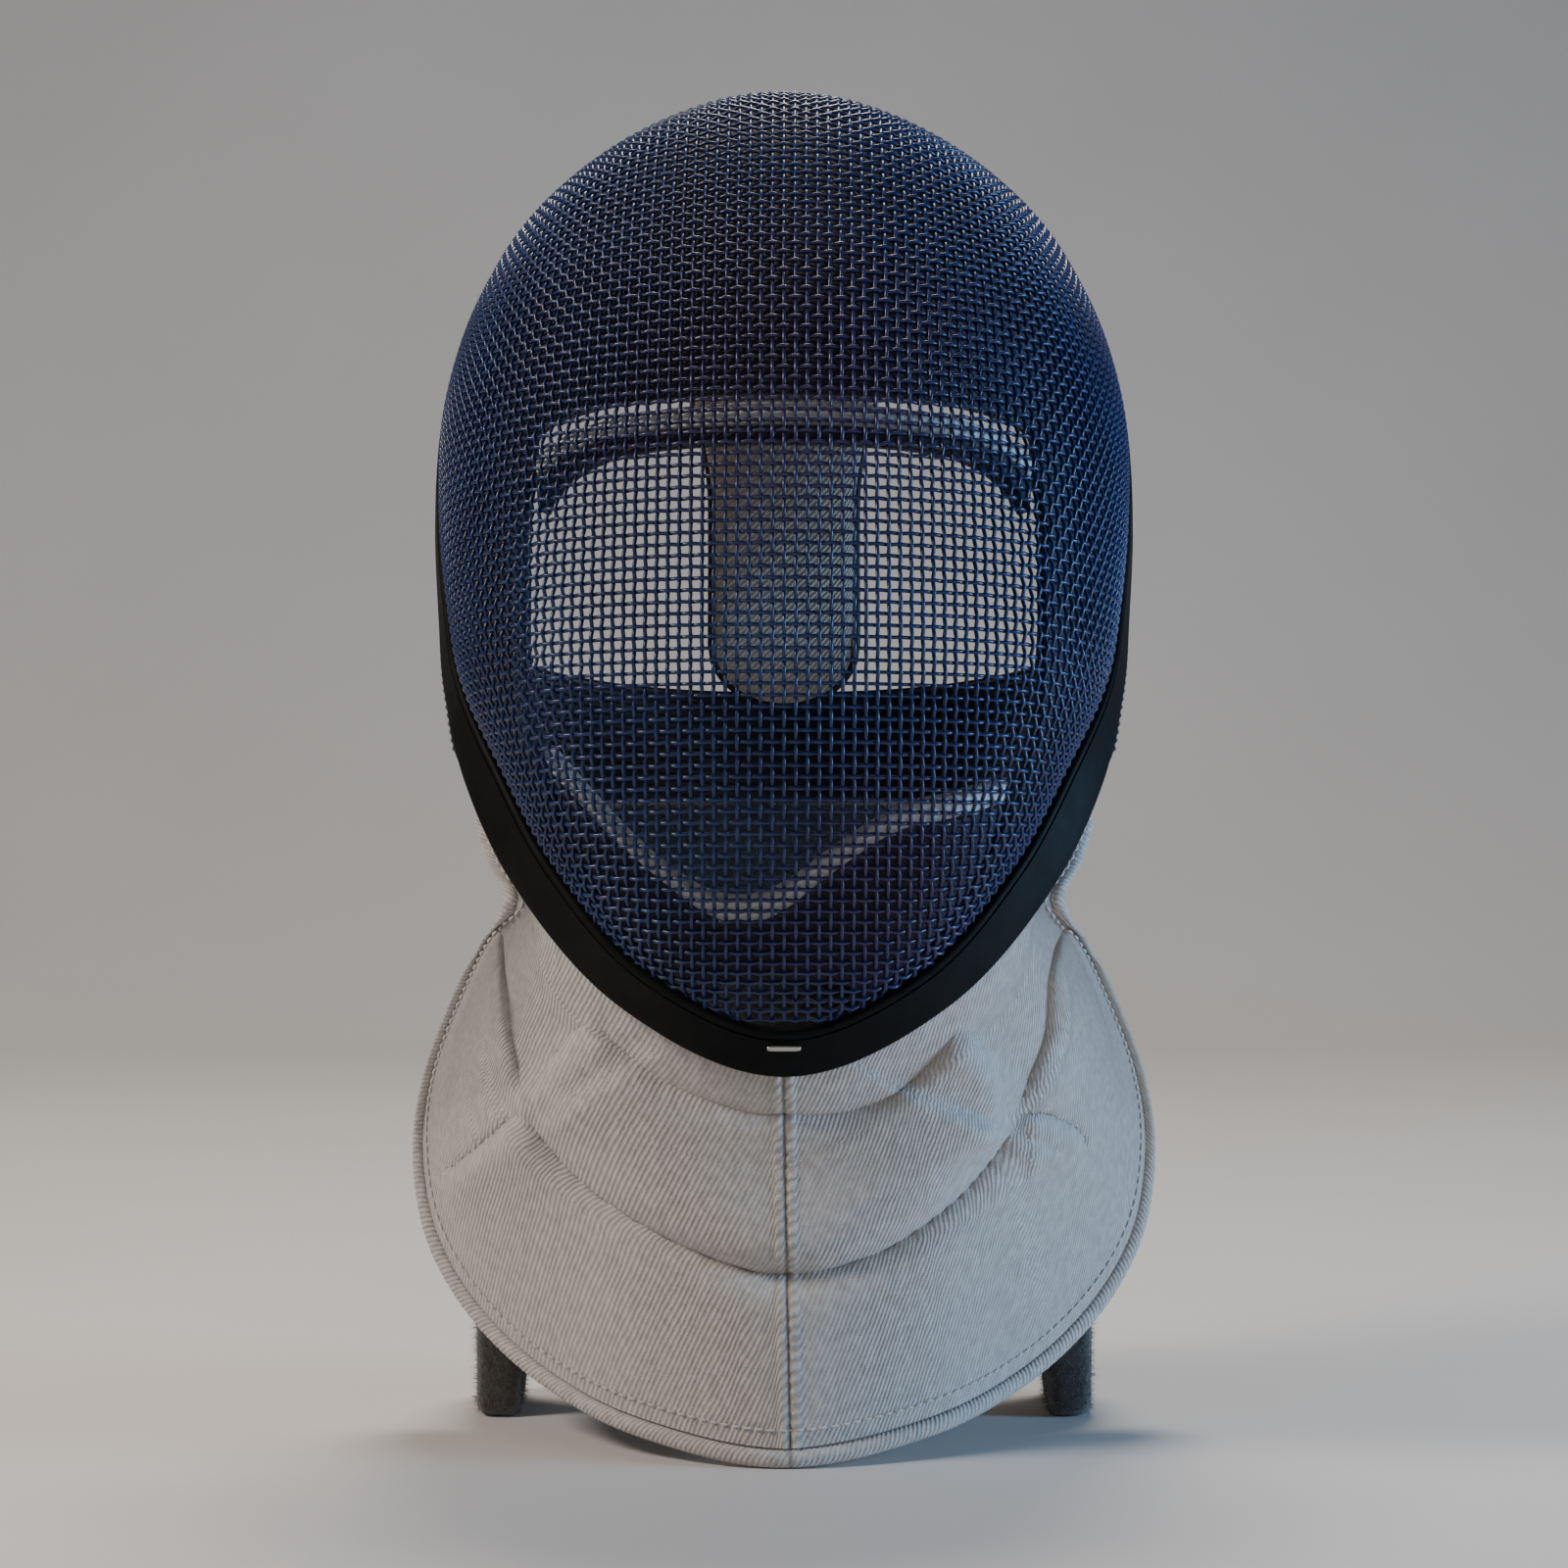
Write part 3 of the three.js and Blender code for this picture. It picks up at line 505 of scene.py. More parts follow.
def clothFinish(name, dark, light, pitch, lean, depth, sheen=0.3, ribShade=0.18):
    # Twill on the piece's own map: rib = sin(2 pi s / pitch), where s is the distance across the ribs,
    # which lean by an angle, crossed by finer threads, with uneven yarn and a soft crumple. The colour
    # darkens between the ribs: painted shade in their grooves.
    material, tree, shader = newFinish(name)
    place = addNode(tree, "ShaderNodeUVMap", {"uv_map": "cloth"}).outputs[0]
    split = addNode(tree, "ShaderNodeSeparateXYZ", None, Vector=place)
    u, v = split.outputs[0], split.outputs[1]
    wander = times(tree, plus(tree, noise(tree, place, 60.0), -0.5), pitch * 0.7)
    slant = plus(tree, plus(tree, times(tree, u, np.cos(lean)), times(tree, v, np.sin(lean))), wander)
    rib = mathNode(tree, "SINE", times(tree, slant, 2 * np.pi / pitch))
    thread = mathNode(tree, "SINE", times(tree, v, 2 * np.pi / (pitch * 0.55)))
    height = plus(tree, times(tree, rib, 0.4), times(tree, thread, 0.1))
    height = plus(tree, height, times(tree, noise(tree, place, 1800.0, 2.0), 0.5))
    # Painted shade between the ribs: the rib's sine, scaled, darkens the colour, over uneven yarn.
    shade = plus(tree, times(tree, rib, ribShade), noise(tree, place, 300.0, 4.0))
    crumple = bump(tree, noise(tree, place, 55.0), 0.25, 0.002)
    setSockets(tree, shader, Base_Color=ramp(tree, shade, [(0.22, dark), (0.78, light)]), Roughness=0.92,
               Sheen_Weight=sheen, Sheen_Roughness=0.5, Normal=bump(tree, height, 0.7, depth, Normal=crumple))
    return material


def feltFinish(name, dark, light, scale, depth=0.0012):
    # Felt: matted fibres at two scales, with flecks of a lighter grey.
    material, tree, shader = newFinish(name)
    place = objectPlace(tree)
    coarse, fine = noise(tree, place, scale, 5.0, 0.75), noise(tree, place, scale * 4, 3.0, 0.7)
    both = mathNode(tree, "MULTIPLY_ADD", fine, 0.4, times(tree, coarse, 0.6))
    setSockets(tree, shader, Base_Color=ramp(tree, both, [(0.35, dark), (0.68, light)]), Roughness=1,
               Sheen_Weight=0.5, Sheen_Roughness=0.6, Normal=bump(tree, both, 0.8, depth))
    return material


def metalFinish():
    # Brushed pale metal, with soft smudges.
    material, tree, shader = newFinish("pale_metal")
    place = objectPlace(tree)
    stretched = addNode(tree, "ShaderNodeMapping", None, Vector=place, Scale=(60, 1200, 1200)).outputs[0]
    tone = ramp(tree, noise(tree, stretched, 1.0), [(0.3, (0.55, 0.53, 0.48)), (0.7, (0.8, 0.77, 0.7))])
    rough = mathNode(tree, "MULTIPLY_ADD", noise(tree, place, 900.0), 0.2, 0.3)
    setSockets(tree, shader, Base_Color=tone, Metallic=1, Roughness=rough)
    return material


weave = {"pitch": 3.4, "radius": 0.6, "lift": 0.62, "sides": 6, "firstRowZ": 265, "fall": 0.12, "reach": 1.2,
         "step": 0.002, "margin": 0.01, "miss": 0.05, "samples": 6001, "climb": 4000, "levelSamples": 2401}


def firstLines():
    # The upright wire in the middle, and the first cross wire, where the gently falling plane
    # z + fall y = constant cuts the dome, both in equal steps along.
    at = np.linspace(0, crown, weave["samples"])
    line = domePoint(0, at)
    run = runLength(line)
    climb = slice(weave["climb"])  # over these samples the line only rises
    start = np.interp(weave["firstRowZ"], line[climb, 2], run[climb])
    low, high = int(start // weave["pitch"]), int((run[-1] - start) // weave["pitch"])
    middleAt = np.interp(start + weave["pitch"] * np.arange(-low, high + 1), run, at)

    level = lambda p: p[..., 2] + weave["fall"] * p[..., 1]
    turn = np.linspace(0, weave["reach"], weave["levelSamples"])
    goal = level(domePoint(0, middleAt[low]))
    at = np.full_like(turn, middleAt[low])
    step = weave["step"] / 2
    for _ in range(40):
        here = level(domePoint(turn, at))
        at = at - (here - goal) / ((level(domePoint(turn, at + step)) - here) / step)
    run = runLength(domePoint(turn, at))
    places = weave["pitch"] * np.arange(int(run[-1] // weave["pitch"]))
    return middleAt, low, np.interp(places, run, turn), np.interp(places, run, at)


def solveNet():
    # Crossings one pitch from both neighbours on the dome: |P - side| = |P - under| = pitch. Each
    # diagonal of the net follows from the one before, by Newton's method.
    middleAt, low, levelTurn, levelAt = firstLines()
    rows, columns = len(middleAt), len(levelTurn)
    turn, at = np.full((rows, columns), np.nan), np.full((rows, columns), np.nan)
    turn[:, 0], at[:, 0] = 0, middleAt
    turn[low], at[low] = levelTurn, levelAt
    step, margin = weave["step"], weave["margin"]
    for way in (1, -1):
        count = rows - 1 - low if way > 0 else low
        for diagonal in range(2, count + columns):
            j = np.arange(max(1, diagonal - columns + 1), min(count, diagonal - 1) + 1)
            if not len(j):
                continue
            row, column = low + way * j, diagonal - j
            sideTurn, sideAt = turn[row, column - 1], at[row, column - 1]
            underTurn, underAt = turn[row - way, column], at[row - way, column]
            known = ~(np.isnan(sideTurn) | np.isnan(underTurn))
            row, column, sideTurn, sideAt, underTurn, underAt = (
                a[known] for a in (row, column, sideTurn, sideAt, underTurn, underAt))
            if not len(row):
                continue
            side, under = domePoint(sideTurn, sideAt), domePoint(underTurn, underAt)
            t = sideTurn + underTurn - turn[row - way, column - 1]
            s = sideAt + underAt - at[row - way, column - 1]
            for _ in range(10):
                s = np.clip(s, margin, crown - margin)
                here = domePoint(t, s)
                alongT = (domePoint(t + step, s) - domePoint(t - step, s)) / (2 * step)
                alongS = (domePoint(t, s + step) - domePoint(t, s - step)) / (2 * step)
                gaps = here - side, here - under
                missA, missB = (np.sum(gap**2, -1) - weave["pitch"] ** 2 for gap in gaps)
                a, b, c, d = (2 * np.sum(gap * along, -1) for gap in gaps for along in (alongT, alongS))
                scale = a * d - b * c
                t = t - np.clip((missA * d - missB * b) / scale, -0.1, 0.1)
                s = s - np.clip((a * missB - c * missA) / scale, -0.3, 0.3)
            isInside = (np.abs(t) < weave["reach"]) & (np.abs(s - crown / 2) < crown / 2 - 1.1 * margin)
            good = (np.hypot(missA, missB) < weave["miss"]) & isInside
            turn[row, column] = np.where(good, t, np.nan)
            at[row, column] = np.where(good, s, np.nan)
    return np.concatenate([-turn[:, :0:-1], turn], 1), np.concatenate([at[:, :0:-1], at], 1)


def wireLines(turn, at):
    # Each wire's crossings and the points half way between them, with one more point at each end that
    # slides back to the mesh's edge. Returns places on the dome and which of them are used.
    inside = ~np.isnan(turn) & (np.abs(turn) <= 1)
    turn, at = np.nan_to_num(turn), np.nan_to_num(at, nan=6.0)
    rows, columns = turn.shape
    fine = 2 * columns - 1
    turnFine, atFine = np.zeros((rows, fine)), np.zeros((rows, fine))
    turnFine[:, ::2], atFine[:, ::2] = turn, at
    turnFine[:, 1::2] = (turn[:, :-1] + turn[:, 1:]) / 2
    atFine[:, 1::2] = (at[:, :-1] + at[:, 1:]) / 2
    used = np.zeros((rows, fine), bool)
    used[:, ::2] = inside
    used[:, 1::2] = inside[:, :-1] & inside[:, 1:]
    for shift in (1, -1):
        r, c = np.nonzero(inside & ~np.roll(inside, -shift, 1))
        fits = (2 * c + shift >= 0) & (2 * c + shift < fine)
        r, c = r[fits], c[fits]
        before = np.clip(c - shift, 0, columns - 1)
        pace = turn[r, c] - turn[r, before]
        safePace = np.where(np.abs(pace) < 1e-4, 1e-4 * np.sign(turn[r, c]) + 1e-9, pace)
        reach = np.clip((np.sign(turn[r, c]) - turn[r, c]) / safePace, 0.05, 1.0)
        turnFine[r, 2 * c + shift] = np.clip(turn[r, c] + pace * reach, -1, 1)
        atEnd = at[r, c] + (at[r, c] - at[r, before]) * reach
        atFine[r, 2 * c + shift] = np.clip(atEnd, 0.02, crown - 0.02)
        used[r, 2 * c + shift] = True
    return turnFine, atFine, used


def wires(name, turn, at, over):
    # Tubes along the rows of crossings. The middle line is lifted out of the dome where a wire passes
    # over a crossing, sinks where it passes under, and runs through the surface half way between.
    turnFine, atFine, used = wireLines(turn, at)
    lift = np.zeros(turnFine.shape)
    lift[:, ::2] = weave["lift"] * over
    normal = domeNormal(turnFine, atFine)
    middle = domePoint(turnFine, atFine) + normal * lift[..., None]
    hasAhead, hasBehind = used & np.roll(used, -1, 1), used & np.roll(used, 1, 1)
    hasAhead[:, -1] = False
    hasBehind[:, 0] = False
    along = (np.where(hasAhead[..., None], np.roll(middle, -1, 1), middle)
             - np.where(hasBehind[..., None], np.roll(middle, 1, 1), middle))
    used = used & (hasAhead | hasBehind)
    across, up = axesRound(unit(along + 1e-9), normal)
    sides = weave["sides"]
    k = np.arange(sides)
    points = (middle[:, :, None] + weave["radius"] * ringRound(up, across, sides))[used].reshape(-1, 3)
    number = np.cumsum(used.ravel()).reshape(used.shape) - 1
    first = number[used & hasAhead][:, None] * sides
    following = (k + 1) % sides
    corners = [first + k, first + following, first + sides + following, first + sides + k]
    faces = np.stack(corners, -1).reshape(-1, 4)
    starts, stops = number[used & ~hasBehind], number[used & ~hasAhead]
    caps = np.concatenate([starts[:, None] * sides + k[::-1], stops[:, None] * sides + k])
    if signedVolume(points, faces) < 0:
        faces, caps = faces[:, ::-1], caps[:, ::-1]
    return putMesh(name, toScene(points), faces, extra=caps.tolist())


def makeMesh():
    # The weave: at each crossing one wire is over where row + column is odd, and the other where even.
    turn, at = solveNet()
    rows, columns = turn.shape
    over = np.where((np.arange(rows)[:, None] + np.arange(columns)) % 2, 1.0, -1.0)
    material = wireFinish()
    half, split = columns // 2, rows // 2
    pieces = [
        wires("wires_across_low", turn[:split], at[:split], over[:split]),
        wires("wires_across_high", turn[split:], at[split:], over[split:]),
        wires("wires_up_left", turn[:, :half].T, at[:, :half].T, -over[:, :half].T),
        wires("wires_up_right", turn[:, half:].T, at[:, half:].T, -over[:, half:].T),
    ]
    for piece in pieces:
        finishPiece(piece, material, ["mesh_dome"])
        print("woven wire:", piece.name, len(piece.data.polygons), "faces")


trim = {"loops": 320, "round": 1.5, "grooveAt": 2.4, "grooveHalf": 0.45, "grooveDeep": 0.5, "middle": 5}


def trimSection():
    # The band's section as (across, outward) pairs on a strip ten long: quarter circles at its four
    # corners, and a groove in its outer face near the mesh.
    angle = np.linspace(0, np.pi / 2, 5)
    corner = trim["round"]
    sine, cosine = corner * np.sin(angle), corner * np.cos(angle)
    far, flat = 2 * trim["middle"] - corner, trimHalf - corner
    groove = trim["grooveAt"] + trim["grooveHalf"] * np.array([-1, -0.5, 0.5, 1])
    deep = trimHalf - trim["grooveDeep"] * np.array([0, 1, 1, 0])
    return np.array([*zip(corner - cosine, flat + sine), *zip(groove, deep), (trim["middle"], trimHalf),
                     *zip(far + sine, flat + cosine), *zip(far + cosine, -flat - sine),
                     *zip(corner - sine, -flat - cosine)])


def makeTrim():
    # The section is carried round the mesh's edge. Its near half keeps its distance from the mesh and
    # its far half its distance from the band's outer edge.
    band = trimFrame(np.linspace(-crown, crown, trim["loops"] + 1)[1:])
    section = trimSection()
    isFar = section[:, 0] >= trim["middle"]
    across = np.where(isFar, band["width"][:, None] + section[:, 0] - 2 * trim["middle"],
                      band["seat"][:, None] + section[:, 0])
    loops = (band["start"][:, None] + band["across"][:, None] * across[..., None]
             + band["normal"][:, None] * section[:, 1][None, :, None])
    finishPiece(sweep("trim_band", loops, isRing=True, sharp=40), trimFinish(), ["frame_trim"])


bar = {"long": 10, "tall": 1.6, "thick": 0.9, "along": 0.27, "seat": 0.6, "power": 0.35,
       "levels": [[0.9, 0], [1, 0.2], [1, 0.7], [0.94, 0.93], [0.8, 1]]}


def makeBar():
    # A small plate on the trim under the chin: superellipse rings that close to its two faces.
    width = float(trimFrame(0.0)["width"])
    angle = circle(48)
    levels = np.array(bar["levels"])
    x = levels[:, :1] * squarish(np.cos(angle), bar["power"]) * bar["long"] / 2
    rise = levels[:, :1] * squarish(np.sin(angle), bar["power"]) * bar["tall"] / 2 + width * bar["along"]
    outward = trimHalf + bar["seat"] + levels[:, 1:] * bar["thick"] + 0 * x
    points = trimPoint(np.zeros_like(x), rise, outward)
    points[..., 0] = x
    finishPiece(sweep("rim_plate", points, sharp=50), metalFinish(), ["rim_bar"])


bibRows = {
    "topAt": [0, 0.5, 0.85, 1.1, 1.3, 1.45, 1.6, 1.75, 1.85, 1.95, 2.3, 2.7],
    "hemX": [0, 43.5, 74, 98, 113.4, 118.2, 114, 100.6, 93.6, 85.6, 91, 94.5],
    "hemY": [-75, -58, -31, -10, 3, 6, -6, -28, -42, -55, -44, -36],
    "hemZ": [0, 6, 16.4, 34, 57, 84.9, 111.3, 144.2, 157.5, 170.4, 183, 195],
}
bib = {"end": 11, "tuck": 0.12, "seat": 1, "thick": 2.4, "hemWide": 5.6, "hemGap": 0.6, "rollThick": 5.2,
       "around": 380, "down": 92, "flat": (0.46, 0.14), "area": 0.0385, "belly": 0.3, "fullness": 1.9,
       "softness": 1.75, "pinch": 0.5, "pinchReach": 2.6, "turnOver": 1.6}
# How fast folds come in below the trim, how fast they go out at the hem, and the length of cloth that
# gives them their whole height.
foldEnds = {"hollows": (4, 5, 60), "creases": (9, 7, 45), "seam": 20}
# Hollows as seen from the front: from, by, to, each as (across, up), then rise and reach.
hollows = [
    ((-50, 115), (0, 92), (50, 115), -5, 26),
    ((-80.6, 104), (-45, 70), (0, 58.5), -2.6, 6),
    ((0, 58.5), (38, 72), (70, 100), -2.6, 6),
    ((-86, 168), (-85, 131), (-80, 106), 2.4, 5),
    ((-57.6, 137), (-69, 123), (-79.4, 108), 2.2, 5),
    ((-80.6, 104), (-97, 88), (-111, 77), 2.6, 7),
    ((51.4, 136.5), (61, 122), (69.5, 100), 2.4, 5),
    ((69, 103), (82, 126), (87, 160), -2.4, 6),
    ((72, 99), (80, 98), (92, 92), 2.4, 6),
    ((101, 131), (93, 119), (86, 107), -1.8, 8),
]
# Creases as seen from the front: across, up, then (rise, reach) of the cloth on the left of the way
# along and on its right, sharp and fade.
creases = [
    ([-57.7, -48.4, -34.4, -12.7, -0.3, 18.3, 33.8, 44.7, 53.2],
     [135.3, 125.8, 116.2, 108.5, 107.3, 107.9, 113.3, 122.9, 133.9], (2.2, 7), (3.6, 30), 2.2, 0.1),
    ([-80.2, -70.1, -56.2, -34.4, -12.7, -0.3, 15.2, 33.8, 52.4, 64.8, 69.8],
     [104.5, 91.3, 79.5, 67.8, 59.7, 57.8, 59.7, 66.3, 78.8, 92, 100.8], (5.2, 30), (3.8, 18), 2.6, 0.06),
    ([-57.7, -70.1, -80.2], [137, 122.9, 105.5], (3.8, 20), (0, 1), 1.8, 0.25),
    ([-87, -86.4, -85.9, -84.1, -79.7], [176, 165, 148, 127.3, 108], (0, 1), (4.6, 18), 1.5, 0.2),
    ([-79, -88.7, -98, -105.8, -111], [107, 97.9, 89.1, 82.5, 80], (4, 16), (2.6, 12), 1.8, 0.25),
    ([51, 63.3, 67.2, 71], [137, 121.4, 106.7, 97.5], (0, 1), (4.4, 20), 1.6, 0.2),
    ([87.3, 81.9, 80.4, 70.3], [168, 149.3, 127.3, 103], (4.6, 16), (0, 1), 1.5, 0.2),
    ([69.5, 78, 86, 93, 95], [103.5, 104, 100.8, 95, 84], (2.2, 8), (3.4, 12), 1.8, 0.25),
    ([101, 92, 82, 74], [142, 130, 118, 107], (1.6, 8), (1.6, 8), 3, 0.3),
    ([-76, -66, -57], [160, 149, 139], (1.2, 7), (1.2, 7), 3, 0.35),
    ([-100, -104, -107], [118, 105, 94], (1, 9), (1, 9), 3, 0.35),
    ([44, 62, 80, 93], [44, 53, 61, 72], (1.2, 10), (1.2, 10), 4, 0.35),
]
# The seam's dark tone is painted shade for its groove.
seam = {"topX": 0, "lowX": 1.7, "topZ": 112, "lowZ": 20, "deep": 0.9, "half": 0.6, "lip": 0.6, "lipAt": 2,
        "lipHalf": 1.1, "pucker": 0.3, "puckerStep": 4.2, "puckerHalf": 4, "from": 0.0002, "to": 0.001,
        "dark": (0.2, 0.185, 0.17), "columns": 33}


def hollowLift(fold, x, z):
    # rise / (1 + (d / reach) squared), where d is the distance from a curve through three points.
    start, by, end, rise, reach = (np.array(value, float) for value in fold)
    bend = 2 * by - (start + end) / 2
    t = np.linspace(0, 1, 41)
    curveX, curveZ = ((1 - t) ** 2 * start[k] + 2 * t * (1 - t) * bend[k] + t * t * end[k] for k in (0, 1))
    nearest = np.min((x[..., None] - curveX) ** 2 + (z[..., None] - curveZ) ** 2, -1)
    return rise / (1 + nearest / reach**2)


def creaseLift(crease, x, z):
    # With d the distance from the crease, the cloth stands rise (1 - exp(-d / sharp)) exp(-d / reach)
    # on each side of it, and this fades out towards the crease's ends.
    across, up, left, right, sharp, fade = crease
    count = 61
    place = np.linspace(0, len(across) - 1, count)
    curveX, curveZ = readRows(across, place, 0, 0), readRows(up, place, 0, 0)
    wayX, wayZ = np.gradient(curveX), np.gradient(curveZ)
    pace = np.hypot(wayX, wayZ)
    near = np.argmin((x[..., None] - curveX) ** 2 + (z[..., None] - curveZ) ** 2, -1)
    offX, offZ = x - curveX[near], z - curveZ[near]
    aside = (wayX[near] * offZ - wayZ[near] * offX) / pace[near]
    along = (wayX[near] * offX + wayZ[near] * offZ) / pace[near]
    d = np.hypot(aside, np.maximum(0, np.abs(along) - pace[near]))
    share = np.clip((near + np.clip(along / pace[near], -0.5, 0.5)) / (count - 1), 0, 1)
    soft = sharp * bib["softness"]
    onLeft, onRight = (bib["fullness"] * rise * (1 - np.exp(-d / soft)) * np.exp(-d / reach)
                       for rise, reach in (left, right))
    turnOver = smooth(0.5 + aside / bib["turnOver"])
    return smooth(np.minimum(share, 1 - share) / fade) * mix(onRight, onLeft, turnOver)


def seamLift(x, z):
    # A groove down the middle with a lip on each side and small puckers across it.
    share = (seam["topZ"] - z) / (seam["topZ"] - seam["lowZ"])
    away = x - mix(seam["topX"], seam["lowX"], share)
    groove = -seam["deep"] * bell(away, seam["half"])
    lip = seam["lip"] * bell(np.abs(away) - seam["lipAt"], seam["lipHalf"])
    pucker = seam["pucker"] * np.sin(z * 2 * np.pi / seam["puckerStep"]) * bell(away, seam["puckerHalf"])
    return groove + lip + pucker


def fadeEnds(t, length, ends):
    # An S-curve in from the trim times one out to the hem, and less where the cloth is short.
    rise, fall, whole = ends
    return smooth(t * rise) * smooth((1 - t) * fall) * np.minimum(1, length / whole)


def bibLine(row):
    # The bib's frame lines at a row: tucked behind the trim, out below it, and the hem's outer edge.
    row = np.asarray(row, float)
    topAt = np.where(row < 0, -1.0, 1.0) * readRows(bibRows["topAt"], np.abs(row), -1, 0)
    band = trimFrame(topAt)
    behind = np.full(np.shape(topAt), -(trimHalf + bib["thick"] / 2 + bib["seat"]))
    hem = readPoint(bibRows, "hem", row, 0)
    out = trimPoint(topAt, band["width"] + 1.5, behind)
    return {"tucked": trimPoint(topAt, band["width"] * 0.5, behind), "out": out, "hem": hem,
            "across": band["across"], "down": unit(hem - out)}


def bibPoint(row, down):
    # Straight behind the trim, then a parabola's arc from the trim to the hem, moved forwards or
    # backwards by the hollows, the creases and the seam.
    row, down = together(row, down)
    line = bibLine(row)
    t = np.clip((down - bib["tuck"]) / (1 - bib["tuck"]), 0, 1)[..., None]
    end = line["hem"] - line["down"] * (bib["hemWide"] + bib["hemGap"])
    length = np.linalg.norm(end - line["out"], axis=-1)
    bend = line["out"] + line["across"] * length[..., None] * bib["belly"]
    point = line["out"] * (1 - t) ** 2 + bend * 2 * t * (1 - t) + end * t * t
    flat = t[..., 0]
    x, z = point[..., 0], point[..., 2]
    broad = sum(hollowLift(fold, x, z) for fold in hollows) * fadeEnds(flat, length, foldEnds["hollows"])
    fine = sum(creaseLift(fold, x, z) for fold in creases) * fadeEnds(flat, length, foldEnds["creases"])
    point[..., 1] -= broad + fine + seamLift(x, z) * smooth(flat * foldEnds["seam"])
    tucked = line["tucked"] + (line["out"] - line["tucked"]) * np.clip(down / bib["tuck"], 0, 1)[..., None]
    return np.where((down < bib["tuck"])[..., None], tucked, point)


def bibNormal(row, down):
    # The bib's normal, turned to face forwards.
    place = np.clip(row, 0.01 - bib["end"], bib["end"] - 0.01)
    normal = surfaceNormal(bibPoint, place, np.clip(down, 0.01, 0.99), 0.006)
    return np.where(normal[..., 1:2] > 0, -normal, normal)


def clothMap(points):
    # Lengths along the cloth in metres, from its middle column and from its top row.
    along = np.linalg.norm(np.diff(points, axis=0), axis=-1)
    u = np.concatenate([np.zeros((1, points.shape[1])), np.cumsum(along, 0)])
    u = u - u[points.shape[0] // 2]
    down = np.linalg.norm(np.diff(points, axis=1), axis=-1)
    v = np.concatenate([np.zeros((points.shape[0], 1)), np.cumsum(down, 1)], 1)
    return np.stack([u, v], -1) * mm


def paintSeamShade(material):
    # Painted shade in the seam's groove: the cloth is darker by its distance from the seam's line, x + slope
    # z - start.
    tree = material.node_tree
    shader = tree.nodes["Principled BSDF"]
    split = addNode(tree, "ShaderNodeSeparateXYZ", None, Vector=objectPlace(tree))
    slope = (seam["lowX"] - seam["topX"]) / (seam["topZ"] - seam["lowZ"])
    start = mm * (seam["lowX"] + slope * seam["lowZ"])
    line = mathNode(tree, "MULTIPLY_ADD", split.outputs[2], slope, split.outputs[0])
    away = mathNode(tree, "ABSOLUTE", plus(tree, line, -start))
    share = addNode(tree, "ShaderNodeMapRange", None, Value=away, From_Min=seam["from"], From_Max=seam["to"],
                    To_Min=0.75, To_Max=0.0).outputs[0]
    plain = shader.inputs["Base Color"].links[0].from_socket
    setSockets(tree, shader, Base_Color=blend(tree, share, plain, (*seam["dark"], 1)))


stitch = {"step": 3.6, "share": 0.7, "rise": 0.35, "radius": 0.42, "inside": 3.2, "pull": 0.05}


def makeBib():
    # The cloth is its middle surface and a wall half as thick each way, pinched towards the hem by
    # 1 - pinch exp(-(d / reach) squared). The hem is an ellipse carried along its own line.
    even = np.linspace(-bib["end"], bib["end"], bib["around"] + 1)
    row = np.unique(np.concatenate([even, np.linspace(-0.1, 0.1, seam["columns"])]))
    row, down = spread(row, np.concatenate([[0, bib["tuck"] / 2], np.linspace(bib["tuck"], 1, bib["down"])]))
    middle = bibPoint(row, down)
    line = bibLine(row)
    fromHem = (1 - down) * np.linalg.norm(line["hem"] - line["out"], axis=-1)
    pinch = 1 - bib["pinch"] * bell(fromHem, bib["pinchReach"])
    outward = bibNormal(row, down) * (pinch * bib["thick"] / 2)[..., None]
    cloth = shell("bib_cloth", middle + outward, middle - outward, uv=clothMap(middle))
    material = clothFinish("white_twill", (0.38, 0.35, 0.325), (0.62, 0.585, 0.55), 0.0015, np.radians(25),
                           0.0005, ribShade=0.2)
    paintSeamShade(material)
    finishPiece(cloth, material, ["bib"])
    print("bib:", len(cloth.data.polygons), "faces")

    row = np.linspace(-bib["end"], bib["end"], 2 * bib["around"] + 1)
    line = bibLine(row)
    along = unit(np.gradient(line["hem"], axis=0))
    normal = unit(np.cross(along, line["down"]))
    run = runLength(line["hem"])
    angle = circle(16)
    pull = 1 + stitch["pull"] * np.sin(run * 2 * np.pi / stitch["step"])[:, None]
    middle = line["hem"] - line["down"] * bib["hemWide"] / 2
    loops = (middle[:, None] + line["down"][:, None] * (np.cos(angle) * bib["hemWide"] / 2)[None, :, None]
             + normal[:, None] * (np.sin(angle) * bib["rollThick"] / 2 * pull)[..., None])
    uv = np.stack(spread(run, angle * bib["hemWide"] / 2), -1) * mm
    hem = sweep("bib_hem_roll", loops, uv=uv.reshape(-1, 2))
    finishPiece(hem, material, ["bib_hem"])

    length = np.linalg.norm(line["hem"] - line["out"], axis=-1)
    level = 1 - stitch["inside"] / length
    normal = bibNormal(row, level)
    thread = feltFinish("pale_thread", (0.5, 0.47, 0.44), (0.72, 0.69, 0.66), 900.0, 0.0003)
    lineOut = bibPoint(row, level) + normal * bib["thick"] / 2
    stitches = stitchRows("bib_hem_stitches", [(lineOut, normal)], stitch, thread)


